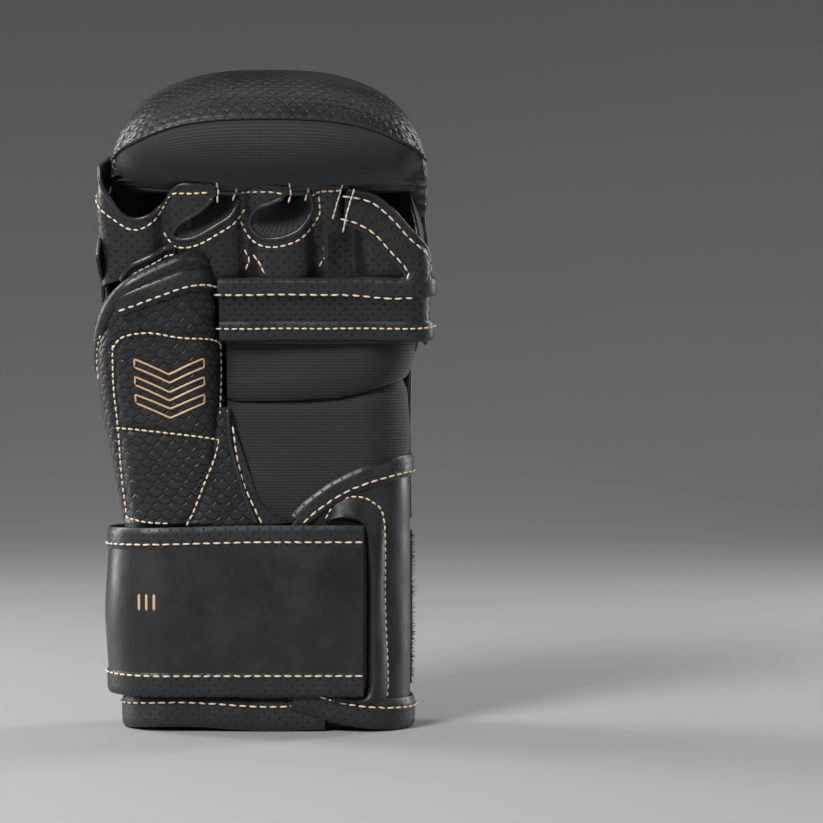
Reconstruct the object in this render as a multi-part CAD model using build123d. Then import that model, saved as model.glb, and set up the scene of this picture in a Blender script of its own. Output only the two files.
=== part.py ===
"""A left-hand sparring glove standing on its cuff, in millimetres.

+Z is up towards the fingertips, -Y is the palm side and -X is the thumb side.  The origin lies
under the middle of the glove's box, on the surface that the cuff stands on.  Shapes are drawn in
hand coordinates, whose origin is the middle of the wrist, and moved to the frame on export.
"""

import os

from build123d import *

# ---- driving dimensions -------------------------------------------------------------------------
FRAME_SHIFT = (0.0, 8.34)       # from hand coordinates to the middle of the glove's box

HALF_WIDTH = 58.0               # wrist and hand tube, outside of the leather
HALF_DEPTH = 21.0
CORNER = 20.0
TUBE_X = 1.0                    # the tube's middle

LEATHER = 2.0
FOAM = 2.8
LINING = 1.2
GAP = 0.2                       # between layers of one body

CUFF_TOP = 86.0
HEM_TOP = 13.0
FLAP_SPLIT = 10.0               # where the thumb-side and the little-finger-side flap meet

STRAP_LOW, STRAP_HIGH = 14.5, 83.0
STRAP_BINDING = 9.0
STRAP_IN, STRAP_OUT = 2.4, 5.0  # distance outside the cuff
STRAP_ROOT, STRAP_CORNER = 40.0, -37.0
STRAP_PEEL, STRAP_END = 6.0, 38.0
HOOK_IN, HOOK_OUT = 1.5, 2.4
LOOP_OUT = 1.2

PALM_TOP = 158.5
PALM_SEAM = 134.0
BACK_TOP = 150.0
THUMB_SIDE = -14.0              # the palm starts here, the thumb's leather ends here
SIDE_SEAM_Y = 6.0

THUMB_BASE_Z, THUMB_TOP_Z = 118.5, 184.0
THUMB_WALL = 2.2

WALL_TILT = 22.0                # the finger wall leans over the palm
WALL_FOOT = (-25.5, 157.0)      # Y, Z
BAND_X = (-14.6, 64.0)

# The knuckle pad, one row per section: outer Y and Z, inner Y and Z, half width, side height.
PAD_SECTIONS = (
    ((-70, 238), (-62, 214), 47, 12),
    ((-53, 254), (-45, 220), 56, 13),
    ((-21, 264), (-23, 217), 61, 14),
    ((20, 254), (0, 205), 65, 15),
    ((45, 225), (13, 187), 67, 15),
    ((54, 192), (21, 166), 67, 13),
    ((48, 157), (24, 147), 63, 9),
    ((34, 134), (26, 134), 54, 3.5),
)
PAD_SKIN = 1.2
PAD_GAP = 0.3
MESH_THICK = 0.9                # the fabric face on the pad's front lip


# ---- helpers ------------------------------------------------------------------------------------
def tube(low, high, outside):
    """A solid of the hand tube's outline, grown by outside, from low to high."""
    outline = RectangleRounded(
        2 * (HALF_WIDTH + outside), 2 * (HALF_DEPTH + outside), CORNER + outside
    )
    return Pos(TUBE_X, 0, low) * extrude(outline, high - low)


def ring(low, high, inside, outside):
    """A layer of the tube's wall, between two distances from its outer leather."""
    return tube(low, high, outside) - tube(low, high, inside)


def block(x, y, z):
    """A box from its three ranges."""
    size = [b - a for a, b in (x, y, z)]
    return Pos(x[0], y[0], z[0]) * Box(*size, align=(Align.MIN,) * 3)


def plate_xz(points, y):
    """A plate of an outline in X and Z, across a range of Y."""
    face = make_face(Polyline(*[(px, y[0], pz) for px, pz in points], close=True))
    return extrude(face, y[1] - y[0], dir=(0, 1, 0))


def plate_yz(points, x):
    """A plate of an outline in Y and Z, across a range of X."""
    face = make_face(Polyline(*[(x[0], py, pz) for py, pz in points], close=True))
    return extrude(face, x[1] - x[0], dir=(1, 0, 0))


def wall_frame():
    """The plane of the finger wall: X along the hand, Z up the wall, Y through it."""
    return Pos(0, *WALL_FOOT) * Rot(WALL_TILT, 0, 0)


def write(parts):
    """Writes one STEP file for each named piece, in the glove's frame."""
    os.makedirs("parts", exist_ok=True)
    for old in os.listdir("parts"):
        os.remove(os.path.join("parts", old))
    for name, shape in parts.items():
        solids = (Pos(*FRAME_SHIFT, 0) * shape).solids()
        export_step(Compound(children=solids), f"parts/{name}.step")


# ---- the cuff -----------------------------------------------------------------------------------
FAR = 200.0
FRONT = (-FAR, SIDE_SEAM_Y)
BACK = (SIDE_SEAM_Y, FAR)
FLAP_EDGE = [(12, 86.2), (28, 98), (44, 106.5), (64, 110), (64, 86.2)]
NOTCH_EDGE = [(-13, 131), (-8.5, 131), (8, 86.2), (-1, 86.2)]


def cuff():
    """Leather, foam and lining of the cuff, split at the palm so that it can open."""
    made = {}
    leather = ring(HEM_TOP + GAP, CUFF_TOP, -LEATHER, 0)
    made["cuff_back"] = leather & block((-FAR, FAR), BACK, (0, FAR))
    made["cuff_flap_thumb_side"] = leather & block((-FAR, FLAP_SPLIT - GAP), FRONT, (0, FAR))
    made["cuff_flap_outer_side"] = leather & block((FLAP_SPLIT, FAR), FRONT, (0, FAR))

    slit = block((FLAP_SPLIT - 2, FLAP_SPLIT + 2), (-FAR, 0), (-1, FAR))
    foam_in = -LEATHER - GAP - FOAM
    made["cuff_foam"] = ring(3, CUFF_TOP - 2, foam_in, -LEATHER - GAP) - slit
    made["cuff_lining"] = ring(1, CUFF_TOP, foam_in - GAP - LINING, foam_in - GAP) - slit

    hem = ring(0, HEM_TOP, -LEATHER, 1.0)
    hem_split = 22.0
    made["cuff_hem_thumb_side"] = hem & block((-FAR, hem_split - GAP), (-FAR, FAR), (-1, FAR))
    made["cuff_hem_outer_side"] = hem & block((hem_split, FAR), (-FAR, FAR), (-1, FAR))

    over = ring(0, 130, 0.2, 2.0)
    made["flap_top_binding"] = over & plate_xz(FLAP_EDGE, FRONT)
    made["palm_notch_binding"] = over & plate_xz(NOTCH_EDGE, FRONT)
    return made


def closure():
    """The slot frame that the strap comes out of, and the loop patch that it closes on."""
    lip = ring(0, 130, 0.2, 4.0)
    upright = lip & block((42.0, 49.0), FRONT, (HEM_TOP + 2 * GAP, 92))
    arm = lip & block((27.0, 42.0), FRONT, (STRAP_HIGH + 1, 92))
    binding_room = ring(0, 92, 0, 2.2) & plate_xz(FLAP_EDGE, FRONT)
    loops = ring(17, 81, 0.1, LOOP_OUT) & block((-5, FAR), (0, FAR), (0, FAR))
    return {"strap_slot_frame": upright + arm - binding_room, "loop_patch": loops}


# ---- the strap ----------------------------------------------------------------------------------
def strap():
    """Four lengths of strap, each a smooth panel between two bindings, and the hook patch."""
    join = 0.15
    half = {
        "palm": block((STRAP_CORNER + join, STRAP_ROOT), (-FAR, 0), (0, FAR)),
        "side": block((-FAR, STRAP_CORNER - join), (-FAR, FAR), (0, FAR)),
        "back": block((STRAP_CORNER + join, STRAP_PEEL - join), (0, FAR), (0, FAR)),
        "tip": block((STRAP_PEEL + join, STRAP_END), (0, FAR), (0, FAR)),
    }
    low, high = STRAP_LOW + STRAP_BINDING, STRAP_HIGH - STRAP_BINDING
    panel = ring(low + GAP, high - GAP, STRAP_IN, STRAP_OUT - 0.4)
    bindings = ring(STRAP_LOW, low, STRAP_IN, STRAP_OUT) + ring(high, STRAP_HIGH, STRAP_IN, STRAP_OUT)
    made = {}
    for name, where in half.items():
        made[f"strap_{name}_panel"] = panel & where
        made[f"strap_{name}_bindings"] = bindings & where
    hooks = ring(19, 79, HOOK_IN, HOOK_OUT - 0.05)
    made["hook_patch"] = hooks & block((STRAP_PEEL + 2, STRAP_END - 2), (0, FAR), (0, FAR))
    return made


# ---- the hand -----------------------------------------------------------------------------------
def hand():
    """Palm mesh, back of the hand and the leather under the thumb."""
    low = CUFF_TOP + GAP
    palm = ring(low, PALM_TOP, -1.8, 0) & block((THUMB_SIDE, FAR), FRONT, (0, FAR))
    made = {
        "palm_mesh_lower": palm & block((-FAR, FAR), (-FAR, FAR), (0, PALM_SEAM)),
        "palm_mesh_upper": palm & block((-FAR, FAR), (-FAR, FAR), (PALM_SEAM + GAP, FAR)),
    }
    back_side = block((-FAR, FAR), (SIDE_SEAM_Y + GAP, FAR), (0, FAR))
    made["hand_back_leather"] = ring(low, BACK_TOP, -LEATHER, 0) & back_side
    made["hand_back_foam"] = ring(low + 2, BACK_TOP - 2, -5.0, -LEATHER - GAP) & back_side
    made["hand_back_lining"] = ring(low, BACK_TOP, -6.4, -5.2) & back_side

    thumb_side = block((-FAR, THUMB_SIDE - GAP), FRONT, (0, FAR))
    made["thumb_root_leather"] = ring(low, THUMB_BASE_Z - 3, -LEATHER, 0) & thumb_side
    made["thumb_root_foam"] = ring(low + 2, THUMB_BASE_Z - 5, -5.0, -LEATHER - GAP) & thumb_side
    return made


# ---- the thumb ----------------------------------------------------------------------------------
def thumb_outline(z, inset):
    """A section of the thumb stall: its front leans out over the palm as it rises."""
    rise = (z - THUMB_BASE_Z) / (THUMB_TOP_Z - THUMB_BASE_Z)
    left, right = -61.0 + 2.0 * rise, -15.2 - 3.0 * rise
    front, back = -24.0 - 20.0 * rise, 5.0 - 15.0 * rise
    shape = RectangleRounded(right - left - 2 * inset, back - front - 2 * inset, 12 - inset)
    return Pos((left + right) / 2, (front + back) / 2, z) * shape


def thumb():
    """The thumb stall, its lining, its padded front patch and the binding of its mouth."""
    low, high = THUMB_BASE_Z, THUMB_TOP_Z
    below, above = low - 10, high + 10

    def stall(inset):
        return loft([thumb_outline(below, inset), thumb_outline(above, inset)])

    level = block((-FAR, FAR), (-FAR, FAR), (low, high - 5))
    top = block((-FAR, FAR), (-FAR, FAR), (high - 5 + GAP, high))
    made = {
        "thumb_stall": (stall(0) - stall(THUMB_WALL)) & level,
        "thumb_mouth_binding": (stall(-0.6) - stall(THUMB_WALL)) & top,
        "thumb_lining": (stall(THUMB_WALL + GAP) - stall(THUMB_WALL + GAP + 0.9))
        & block((-FAR, FAR), (-FAR, FAR), (low + 1, high - 6)),
    }
    patch_zone = block((-52.0, -23.0), (-FAR, -15), (low + 3, low + 40))

    def layer(inside, outside):
        return (stall(-outside) - stall(-inside)) & patch_zone

    made["thumb_patch_foam"] = layer(0.15, 3.0)
    made["thumb_patch"] = layer(3.2, 4.6)
    return made


# ---- the finger section -------------------------------------------------------------------------
def pad_section(row, inset):
    """A D-shaped section of the knuckle pad: flat towards the hand, domed outside."""
    (oy, oz), (iy, iz), half, side = row
    across = Vector(0, oy - iy, oz - iz)
    height = across.length - 2 * inset
    plane = Plane(origin=(TUBE_X - 1, iy, iz), x_dir=(1, 0, 0), z_dir=Vector(1, 0, 0).cross(across))
    half -= inset
    side = min(side, 0.45 * height)
    outline = (
        Line((-half, inset), (half, inset))
        + Line((half, inset), (half, inset + side))
        + ThreePointArc((half, inset + side), (0, inset + height), (-half, inset + side))
        + Line((-half, inset + side), (-half, inset))
    )
    return plane * make_face(outline)


def pad(inset):
    """The whole knuckle pad, taken in by inset all round."""
    rows = list(PAD_SECTIONS)
    faces = [pad_section(row, inset) for row in rows]
    if inset:
        trim = Vector(0, rows[1][1][0] - rows[0][1][0], rows[1][1][1] - rows[0][1][1])
        faces[0] = Pos(*(trim.normalized() * inset)) * faces[0]
        faces[-1] = Pos(0, 0, inset) * faces[-1]
    return loft(faces)


def finger_bay_side(x):
    """A side gusset: its curved edge follows the inside of the knuckle pad."""
    edge = [(-37, 214.5), (-22, 212.5), (-8, 206), (3, 198), (11, 185), (17.5, 168)]
    return plate_yz(edge + [(-3, 160), (-27, 172), (-45, 194), (-45, 206)], x)


def fingers():
    """Knuckle pad, side gussets, palm bands, finger loops and the dividers between them."""
    made = {}
    skin_inner = pad(PAD_SKIN)
    made["knuckle_pad_skin"] = pad(0) - skin_inner
    made["knuckle_pad_foam"] = pad(PAD_SKIN + PAD_GAP)
    (oy, oz), (iy, iz) = PAD_SECTIONS[0][:2]
    outward = Vector(0, iz - oz, oy - iy).normalized()
    lip_face = Pos(*(outward * GAP)) * pad_section(PAD_SECTIONS[0], 1.0)
    made["tip_mesh_panel"] = extrude(lip_face, MESH_THICK, dir=outward)

    made["side_gusset_index"] = finger_bay_side((-66.0, -64.4))
    made["side_gusset_little"] = finger_bay_side((64.4, 66.0))

    wall = wall_frame()
    thick = (-2.0, 0.0)
    made["palm_band_lower"] = wall * block(BAND_X, thick, (0, 16.5))
    made["palm_band_upper"] = wall * block(BAND_X, thick, (16.8, 29.5))
    loops = {
        "index": ((-64.0, -17.2), 36.0, 51.0),
        "middle": ((-16.4, -2.2), 30.0, 42.0),
        "ring": ((0.2, 25.0), 30.0, 43.0),
        "little": ((27.4, 64.0), 30.0, 48.0),
    }
    for name, (x, low, high) in loops.items():
        made[f"{name}_finger_loop"] = wall * block(x, thick, (low, high))
    edges = [(-37.5, 190), (-45.5, 209), (-33, 213), (-18, 210), (-6, 200), (-18, 190)]
    for number, x in enumerate((-27.8, -1.0, 26.2), 1):
        made[f"finger_divider_{number}"] = plate_yz(edges, (x - 1, x + 1))
    return made


parts = {}
for section in (cuff, closure, strap, hand, thumb, fingers):
    parts.update(section())
write(parts)
whole = Compound(children=[Pos(*FRAME_SHIFT, 0) * p for p in parts.values()]).bounding_box()
print("box", whole.min, whole.max, "middle", whole.center())
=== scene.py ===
# %% [markdown]
# # A sparring glove, built around its CAD frame
# The glove is a padded leather shell on a tube of cuff and palm. The CAD model already says where
# each part is, what moves with what and how big the whole is, so this lesson adds only the looks.
# The glove is black on black: it reads through its seams, its cream stitches and its embossed
# scales, so those are real geometry wherever they can be.

# %% Load the frame
import math

import bpy
import numpy as np
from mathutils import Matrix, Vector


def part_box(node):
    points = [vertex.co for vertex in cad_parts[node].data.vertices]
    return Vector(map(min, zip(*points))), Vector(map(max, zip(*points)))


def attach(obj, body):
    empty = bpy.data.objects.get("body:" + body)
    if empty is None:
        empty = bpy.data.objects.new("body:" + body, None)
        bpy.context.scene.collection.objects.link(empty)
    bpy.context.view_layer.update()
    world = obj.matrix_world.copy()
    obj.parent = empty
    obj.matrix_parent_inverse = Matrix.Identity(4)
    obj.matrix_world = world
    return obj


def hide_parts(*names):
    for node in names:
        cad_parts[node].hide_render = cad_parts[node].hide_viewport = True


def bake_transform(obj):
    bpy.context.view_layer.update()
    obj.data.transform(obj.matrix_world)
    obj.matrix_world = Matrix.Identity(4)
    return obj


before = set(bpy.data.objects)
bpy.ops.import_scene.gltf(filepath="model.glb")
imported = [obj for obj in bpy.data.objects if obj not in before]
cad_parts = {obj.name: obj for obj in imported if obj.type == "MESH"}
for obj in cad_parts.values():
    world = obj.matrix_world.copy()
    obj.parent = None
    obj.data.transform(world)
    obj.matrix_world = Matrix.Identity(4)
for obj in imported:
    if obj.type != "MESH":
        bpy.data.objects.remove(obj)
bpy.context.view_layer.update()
scene = bpy.context.scene

# %% [markdown]
# The shapes below are drawn in hand coordinates, in millimetres: X and Y are zero at the middle
# of the wrist and Z is zero at the foot of the cuff. The two hems of the cuff surround the wrist,
# so their boxes say how far the hand coordinates lie from the frame's.

# %% Hand coordinates
hems = [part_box("cuff_hem_thumb_side"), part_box("cuff_hem_outer_side")]
TUBE_MIDDLE = 1.0
SHIFT = np.array([
    (min(b[0].x for b in hems) + max(b[1].x for b in hems)) * 500 - TUBE_MIDDLE,
    (min(b[0].y for b in hems) + max(b[1].y for b in hems)) * 500,
    0.0,
])


def metres(points):
    """Hand coordinates in millimetres to the frame's metres."""
    return (np.asarray(points, float) + SHIFT) / 1000


print("hand coordinates are shifted by", SHIFT.round(2), "mm")

# %% [markdown]
# The camera stands at arm's length in front of the palm and a little to the right, level with
# the middle of the glove, with a long lens. A long lens keeps the tube from looking tapered.

# %% Camera
CAMERA_AT = (60.0, -1122.0, 149.0)
LENS, SENSOR = 120.0, 36.0
PITCH = -1.05

bpy.ops.object.camera_add(location=metres(CAMERA_AT), rotation=(math.radians(90 + PITCH), 0, 0))
camera = bpy.context.object
camera.data.lens, camera.data.sensor_width = LENS, SENSOR
camera.data.clip_end = 20
camera.data.dof.use_dof = False
scene.camera = camera
print("camera at", tuple(round(v, 3) for v in camera.location))

# %% [markdown]
# ## Shader maths
# A leather grain or a weave is a formula of two coordinates. Written with Python's own operators,
# a formula stays readable, so one small class wraps a socket and adds a Math node for each
# operator, and one method makes every other node.


# %% Numbers in a shader
class Number:
    """A number on its way through a shader. Its operators add Math nodes."""

    def __init__(self, finish, socket):
        self.finish, self.socket = finish, socket

    def math(self, operation, *others):
        values = {i: v for i, v in enumerate((self,) + others)}
        return Number(self.finish, self.finish.node("ShaderNodeMath", {"operation": operation},
                                                    values).outputs[0])

    def __rsub__(self, other):
        return (self * -1.0) + other

    def ramp(self, low, high):
        """0 below low, 1 above high and smooth between them."""
        values = {"Value": self, "From Min": low, "From Max": high}
        node = self.finish.node("ShaderNodeMapRange", {"interpolation_type": "SMOOTHSTEP"}, values)
        return Number(self.finish, node.outputs["Result"])


def doing(operation):
    """A method that adds one Math node."""
    def method(self, *others):
        return self.math(operation, *others)
    return method


for name, operation in {
    "__add__": "ADD", "__radd__": "ADD", "__sub__": "SUBTRACT", "__mul__": "MULTIPLY", "__rmul__": "MULTIPLY",
    "__truediv__": "DIVIDE", "__lt__": "LESS_THAN", "floor": "FLOOR", "fraction": "FRACT", "root": "SQRT",
    "sine": "SINE", "size": "ABSOLUTE", "least": "MINIMUM", "most": "MAXIMUM",
}.items():
    setattr(Number, name, doing(operation))


class Finish:
    """A material being made: node() adds a node, surface() ends it in one shader."""

    def __init__(self, name):
        self.material = bpy.data.materials.new(name)
        self.material.use_nodes = True
        self.tree = self.material.node_tree
        self.tree.nodes.clear()

    def node(self, kind, settings=None, values=None):
        made = self.tree.nodes.new(kind)
        for key, value in (settings or {}).items():
            setattr(made, key, value)
        for key, value in (values or {}).items():
            if isinstance(value, Number):
                value = value.socket
            if isinstance(value, bpy.types.NodeSocket):
                self.tree.links.new(value, made.inputs[key])
            else:
                made.inputs[key].default_value = value
        return made

    def along(self):
        """The piece's own two coordinates, in millimetres of its cloth or leather."""
        uv = self.node("ShaderNodeUVMap", {"uv_map": "UVMap"})
        parts = self.node("ShaderNodeSeparateXYZ", None, {0: uv.outputs[0]})
        return Number(self, parts.outputs[0]) * 1000, Number(self, parts.outputs[1]) * 1000

    def noise(self, scale, detail=3.0, roughness=0.5):
        """Cloudy variation in the object's own space; scale is in cells to the metre."""
        place = self.node("ShaderNodeTexCoord").outputs["Object"]
        values = {"Vector": place, "Scale": scale, "Detail": detail, "Roughness": roughness}
        return Number(self, self.node("ShaderNodeTexNoise", None, values).outputs["Fac"])

    def pebbles(self, scale):
        """Fine leather grain: distance to the nearest of many small cells."""
        place = self.node("ShaderNodeTexCoord").outputs["Object"]
        values = {"Vector": place, "Scale": scale, "Randomness": 1.0}
        return Number(self, self.node("ShaderNodeTexVoronoi", None, values).outputs["Distance"])

    def blend(self, mask, low, high):
        """From colour low to colour high as mask goes from 0 to 1."""
        low = (*low, 1) if isinstance(low, tuple) else low
        values = {"Factor": mask, 6: low, 7: (*high, 1)}
        node = self.node("ShaderNodeMix", {"data_type": "RGBA"}, values)
        return node.outputs[2]

    def bump(self, height, distance, strength=1.0, under=None):
        values = {"Height": height, "Distance": distance / 1000, "Strength": strength}
        if under is not None:
            values["Normal"] = under
        return self.node("ShaderNodeBump", None, values).outputs[0]

    def surface(self, **values):
        names = {key.replace("_", " "): value for key, value in values.items()}
        shader = self.node("ShaderNodeBsdfPrincipled", None, names)
        self.tree.links.new(shader.outputs[0], self.node("ShaderNodeOutputMaterial").inputs[0])
        return self.material


print("shader maths is ready")

# %% [markdown]
# ## Patterns
# The embossed scales are rows of circles, each row half a scale along from the last and lying
# over the one below. The same formula lifts the mesh and shades the leather, so it is written
# once, for whatever kind of number comes in: arrays or shader sockets.

# %% Scales and holes
SCALE_WIDE, SCALE_ROW = 5.5, 3.05
SCALE_REACH = 0.56 * SCALE_WIDE


class Array(np.ndarray):
    """An array with the same small vocabulary as a shader's Number."""
    def floor(self): return np.floor(self)
    def fraction(self): return self - np.floor(self)
    def root(self): return np.sqrt(self)
    def size(self): return np.abs(self)
    def least(self, other): return np.minimum(self, other)
    def most(self, other): return np.maximum(self, other)

    def ramp(self, low, high):
        t = np.clip((self - low) / (high - low), 0, 1)
        return t * t * (3 - 2 * t)


def scale_edge(x, y):
    """How far a place is from the edge of its scale, in millimetres."""
    top = ((y + SCALE_REACH) / SCALE_ROW).floor()

    def reach(row):
        shift = (row * 0.5).fraction()
        across = ((x / SCALE_WIDE + shift).fraction() - 0.5) * SCALE_WIDE
        down = y - row * SCALE_ROW
        return SCALE_REACH - (across * across + down * down).root()

    over, under = reach(top), reach(top - 1.0)
    inside = over.ramp(-0.01, 0.01)
    return over * inside + under.most(0.0).least(over * -1.0) * (1.0 - inside)


def hole_mask(x, y, pitch, row, radius):
    """1 inside a punched hole and 0 outside it; the holes stand in staggered rows."""
    line = (y / row).floor()
    shift = (line * 0.5).fraction()
    across = ((x / pitch + shift).fraction() - 0.5) * pitch
    down = ((y / row).fraction() - 0.5) * row
    return 1.0 - (across * across + down * down).root().ramp(radius * 0.75, radius * 1.15)


SCALE_LIFT = 0.2


def scale_lift(x, y):
    edge = scale_edge(np.asarray(x, float).view(Array), np.asarray(y, float).view(Array))
    return np.asarray(edge.ramp(0.0, 1.1)) * SCALE_LIFT


print("a scale is", SCALE_WIDE, "mm wide")

# %% [markdown]
# ## Finishes
# All the leathers are one near-black hide: fine pebble grain, a soft sheen, and a slow drift of
# roughness where hands have polished it. Scales and holes are added on top, with painted shade in
# the grooves between scales and inside the holes. The stretch mesh is a rib of fine rows with
# painted shade in its troughs, and the thread is a pale cream, twisted, with painted shade where
# its plies meet.

# %% Leathers
# SHADOW is the colour of the painted shade in scale grooves and punched holes
BLACK, WORN, SHADOW = (0.008, 0.008, 0.0088), (0.026, 0.026, 0.028), (0.002, 0.002, 0.002)
GRAIN, PORES = 900.0, 2600.0


def leather(name, pattern=None, low=0.3, high=0.52, tint=BLACK):
    """Black leather. pattern(finish) gives a relief in 0..1 and a mask of where shade is painted."""
    f = Finish(name)
    drift = f.noise(45.0, 4.0)
    grain = f.pebbles(GRAIN) * 0.6 + f.noise(PORES, 2.0) * 0.5
    puff = f.noise(28.0, 2.0) * 0.7 + f.noise(90.0, 2.0) * 0.3
    normal = f.bump(grain, 0.08, 0.6, f.bump(puff, 3.0, 0.5))
    wear = f.noise(150.0, 5.0, 0.6).ramp(0.45, 0.8)
    colour = f.blend(wear * 0.5 + drift * 0.3, tint, WORN)
    rough = drift.ramp(0.3, 0.7) * (high - low) + low
    if pattern:
        relief, painted_shade_mask, depth = pattern(f)
        normal = f.bump(relief, depth, 1.0, normal)
        # painted shade: the pattern's mask takes the colour to SHADOW
        colour = f.blend(painted_shade_mask, colour, SHADOW)
        rough = rough + painted_shade_mask * 0.3
    return f.surface(Base_Color=colour, Roughness=rough, Normal=normal, Specular_IOR_Level=0.42,
                     Coat_Weight=0.12, Coat_Roughness=0.35)


def scales(f):
    edge = scale_edge(*f.along())
    # painted shade: the second mask covers the scale edges and the grooves between scales
    return edge.ramp(0.0, 0.5), 1.0 - edge.ramp(0.0, 0.3), 0.3


def punched(pitch, row, radius):
    """A pattern of staggered holes."""
    def pattern(f):
        mask = hole_mask(*f.along(), pitch, row, radius)
        # painted shade: the holes are not cut, so the mask also fills them with SHADOW
        return 1.0 - mask, mask, 0.6
    return pattern


smooth_leather = leather("plain_leather")
scale_leather = leather("scaled_leather", scales, 0.3, 0.5)
perforated_leather = leather("punched_leather", punched(4.4, 2.2, 0.52))
binding_leather = leather("binding_leather", punched(4.4, 2.2, 0.45), 0.34, 0.5, (0.012, 0.012, 0.0135))
piping_leather = leather("piping_leather", None, 0.22, 0.36, (0.016, 0.016, 0.018))
print("leathers:", [m.name for m in bpy.data.materials])


# %% Cloths, thread and tape
def ribbed(name, pitch, depth, tint, sheen=0.25, upright=False):
    """Knitted stretch cloth: fine ribs along one way, small stitches along the other."""
    f = Finish(name)
    x, y = f.along()
    if upright:
        x, y = y, x
    rib = (y * (2 * math.pi / pitch)).sine() * 0.5 + 0.5
    knit = (x * (2 * math.pi / (pitch * 0.8)) + rib * 1.5).sine() * 0.5 + 0.5
    cloud = f.noise(60.0, 3.0)
    weave_relief_and_shade = rib * 0.7 + knit * 0.3
    # painted shade: the colour is lowest in the troughs of the ribs and knit; the cloud is random tone
    colour = f.blend(weave_relief_and_shade * 0.7 + cloud * 0.3, (0.0035, 0.0035, 0.004), tint)
    return f.surface(Base_Color=colour, Roughness=rib * -0.12 + 0.86, Normal=f.bump(weave_relief_and_shade, depth, 0.8),
                     Sheen_Weight=sheen, Sheen_Roughness=0.4)


palm_cloth = ribbed("palm_cloth", 1.2, 0.2, (0.019, 0.019, 0.0205))
tip_cloth = ribbed("tip_cloth", 1.2, 0.18, (0.024, 0.024, 0.026))
finger_lining = ribbed("finger_lining", 1.9, 0.3, (0.02, 0.02, 0.022), upright=True)


def thread():
    """Thick twisted thread, cream, with brown painted shade in the grooves where the plies meet."""
    f = Finish("cream_thread")
    x, y = f.along()
    ply_relief_and_shade = ((x * 1.0 + y * 0.6) * (2 * math.pi / 0.55)).sine() * 0.5 + 0.5
    # painted shade: brown in the grooves between plies; the noise is random tone
    colour = f.blend(ply_relief_and_shade * 0.8 + f.noise(700.0) * 0.2, (0.62, 0.44, 0.28), (1.0, 0.88, 0.69))
    return f.surface(Base_Color=colour, Roughness=0.62, Normal=f.bump(ply_relief_and_shade, 0.08, 0.7))


def plain(name, low, high, scale, rough, bump=0.05, **more):
    """A finish that varies by noise alone."""
    f = Finish(name)
    cloud = f.noise(scale, 4.0, 0.6)
    return f.surface(Base_Color=f.blend(cloud, low, high), Roughness=cloud * 0.12 + rough,
                     Normal=f.bump(cloud, bump, 0.6), **more)


cream_thread = thread()
black_thread = plain("black_thread", (0.006, 0.006, 0.006), (0.02, 0.02, 0.02), 2500.0, 0.6)
gold_print = plain("gold_print", (0.52, 0.32, 0.17), (0.68, 0.46, 0.28), 900.0, 0.4)
loop_pile = plain("loop_pile", (0.003, 0.003, 0.003), (0.02, 0.02, 0.021), 1800.0, 0.9, 0.3, Sheen_Weight=0.5)
hook_tape = plain("hook_strip", (0.008, 0.008, 0.008), (0.03, 0.03, 0.03), 1500.0, 0.5, 0.4)
soft_lining = plain("soft_lining", (0.012, 0.012, 0.013), (0.03, 0.03, 0.032), 1200.0, 0.85, 0.15,
                    Sheen_Weight=0.3)
print("finishes:", len(bpy.data.materials))

# %% [markdown]
# ## Surfaces
# A leather panel is a flat cut that follows a curved form. Each form here is one function from
# two coordinates along the leather, in millimetres, to a place in the hand. A third number lifts
# the place off the form, along its normal, which is how one panel lies over another.


# %% Forms of the glove
def outline(along, half_x, half_y, radius):
    """A rounded rectangle: along is 0 at the front's middle and grows towards -X."""
    front, side, corner = half_x - radius, 2 * (half_y - radius), radius * math.pi / 2
    ends = [front, front + corner, front + corner + side, front + 2 * corner + side]
    half = ends[3] + front
    along = (np.asarray(along, float) + half) % (2 * half) - half
    way, a = np.where(along < 0, -1.0, 1.0), np.abs(along)
    t1 = (a - ends[0]) / radius
    t2 = (a - ends[2]) / radius
    zones = [a < ends[0], a < ends[1], a < ends[2], a < ends[3]]
    x = np.select(zones, [-a, -front - radius * np.sin(t1), -half_x + 0 * a, -front - radius * np.cos(t2)],
                  -front + (a - ends[3]))
    y = np.select(zones, [-half_y + 0 * a, -(half_y - radius) - radius * np.cos(t1),
                          a - ends[1] - (half_y - radius),
                          (half_y - radius) + radius * np.sin(t2)], half_y)
    nx = np.select(zones, [0 * a, -np.sin(t1), -1 + 0 * a, -np.cos(t2)], 0)
    ny = np.select(zones, [-1 + 0 * a, -np.cos(t1), 0 * a, np.sin(t2)], 1)
    return way * x, y, way * nx, ny


def curve(points, t):
    """A smooth line through points, at t counted in points; rows of any width."""
    p = np.asarray(points, float)
    p = p.reshape(len(p), -1)
    t = np.clip(np.asarray(t, float), 0, len(p) - 1)
    i = np.minimum(t.astype(int), len(p) - 2)
    f = (t - i)[..., None]
    before, after = p[np.maximum(i - 1, 0)], p[np.minimum(i + 2, len(p) - 1)]
    a, b = p[i], p[i + 1]
    ma, mb = (b - before) / 2, (after - a) / 2
    return ((2 * f**3 - 3 * f**2 + 1) * a + (f**3 - 2 * f**2 + f) * ma
            + (-2 * f**3 + 3 * f**2) * b + (f**3 - f**2) * mb)


def table(rows, at):
    """Values that change along at: rows are (at, value, ...), read along a smooth line."""
    rows = np.asarray(rows, float)
    t = np.interp(at, rows[:, 0], np.arange(len(rows)))
    return [curve(rows[:, k], t)[..., 0] for k in range(1, rows.shape[1])]


def bell(x, middle, width):
    return np.exp(-(((x - middle) / width) ** 2))


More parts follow.
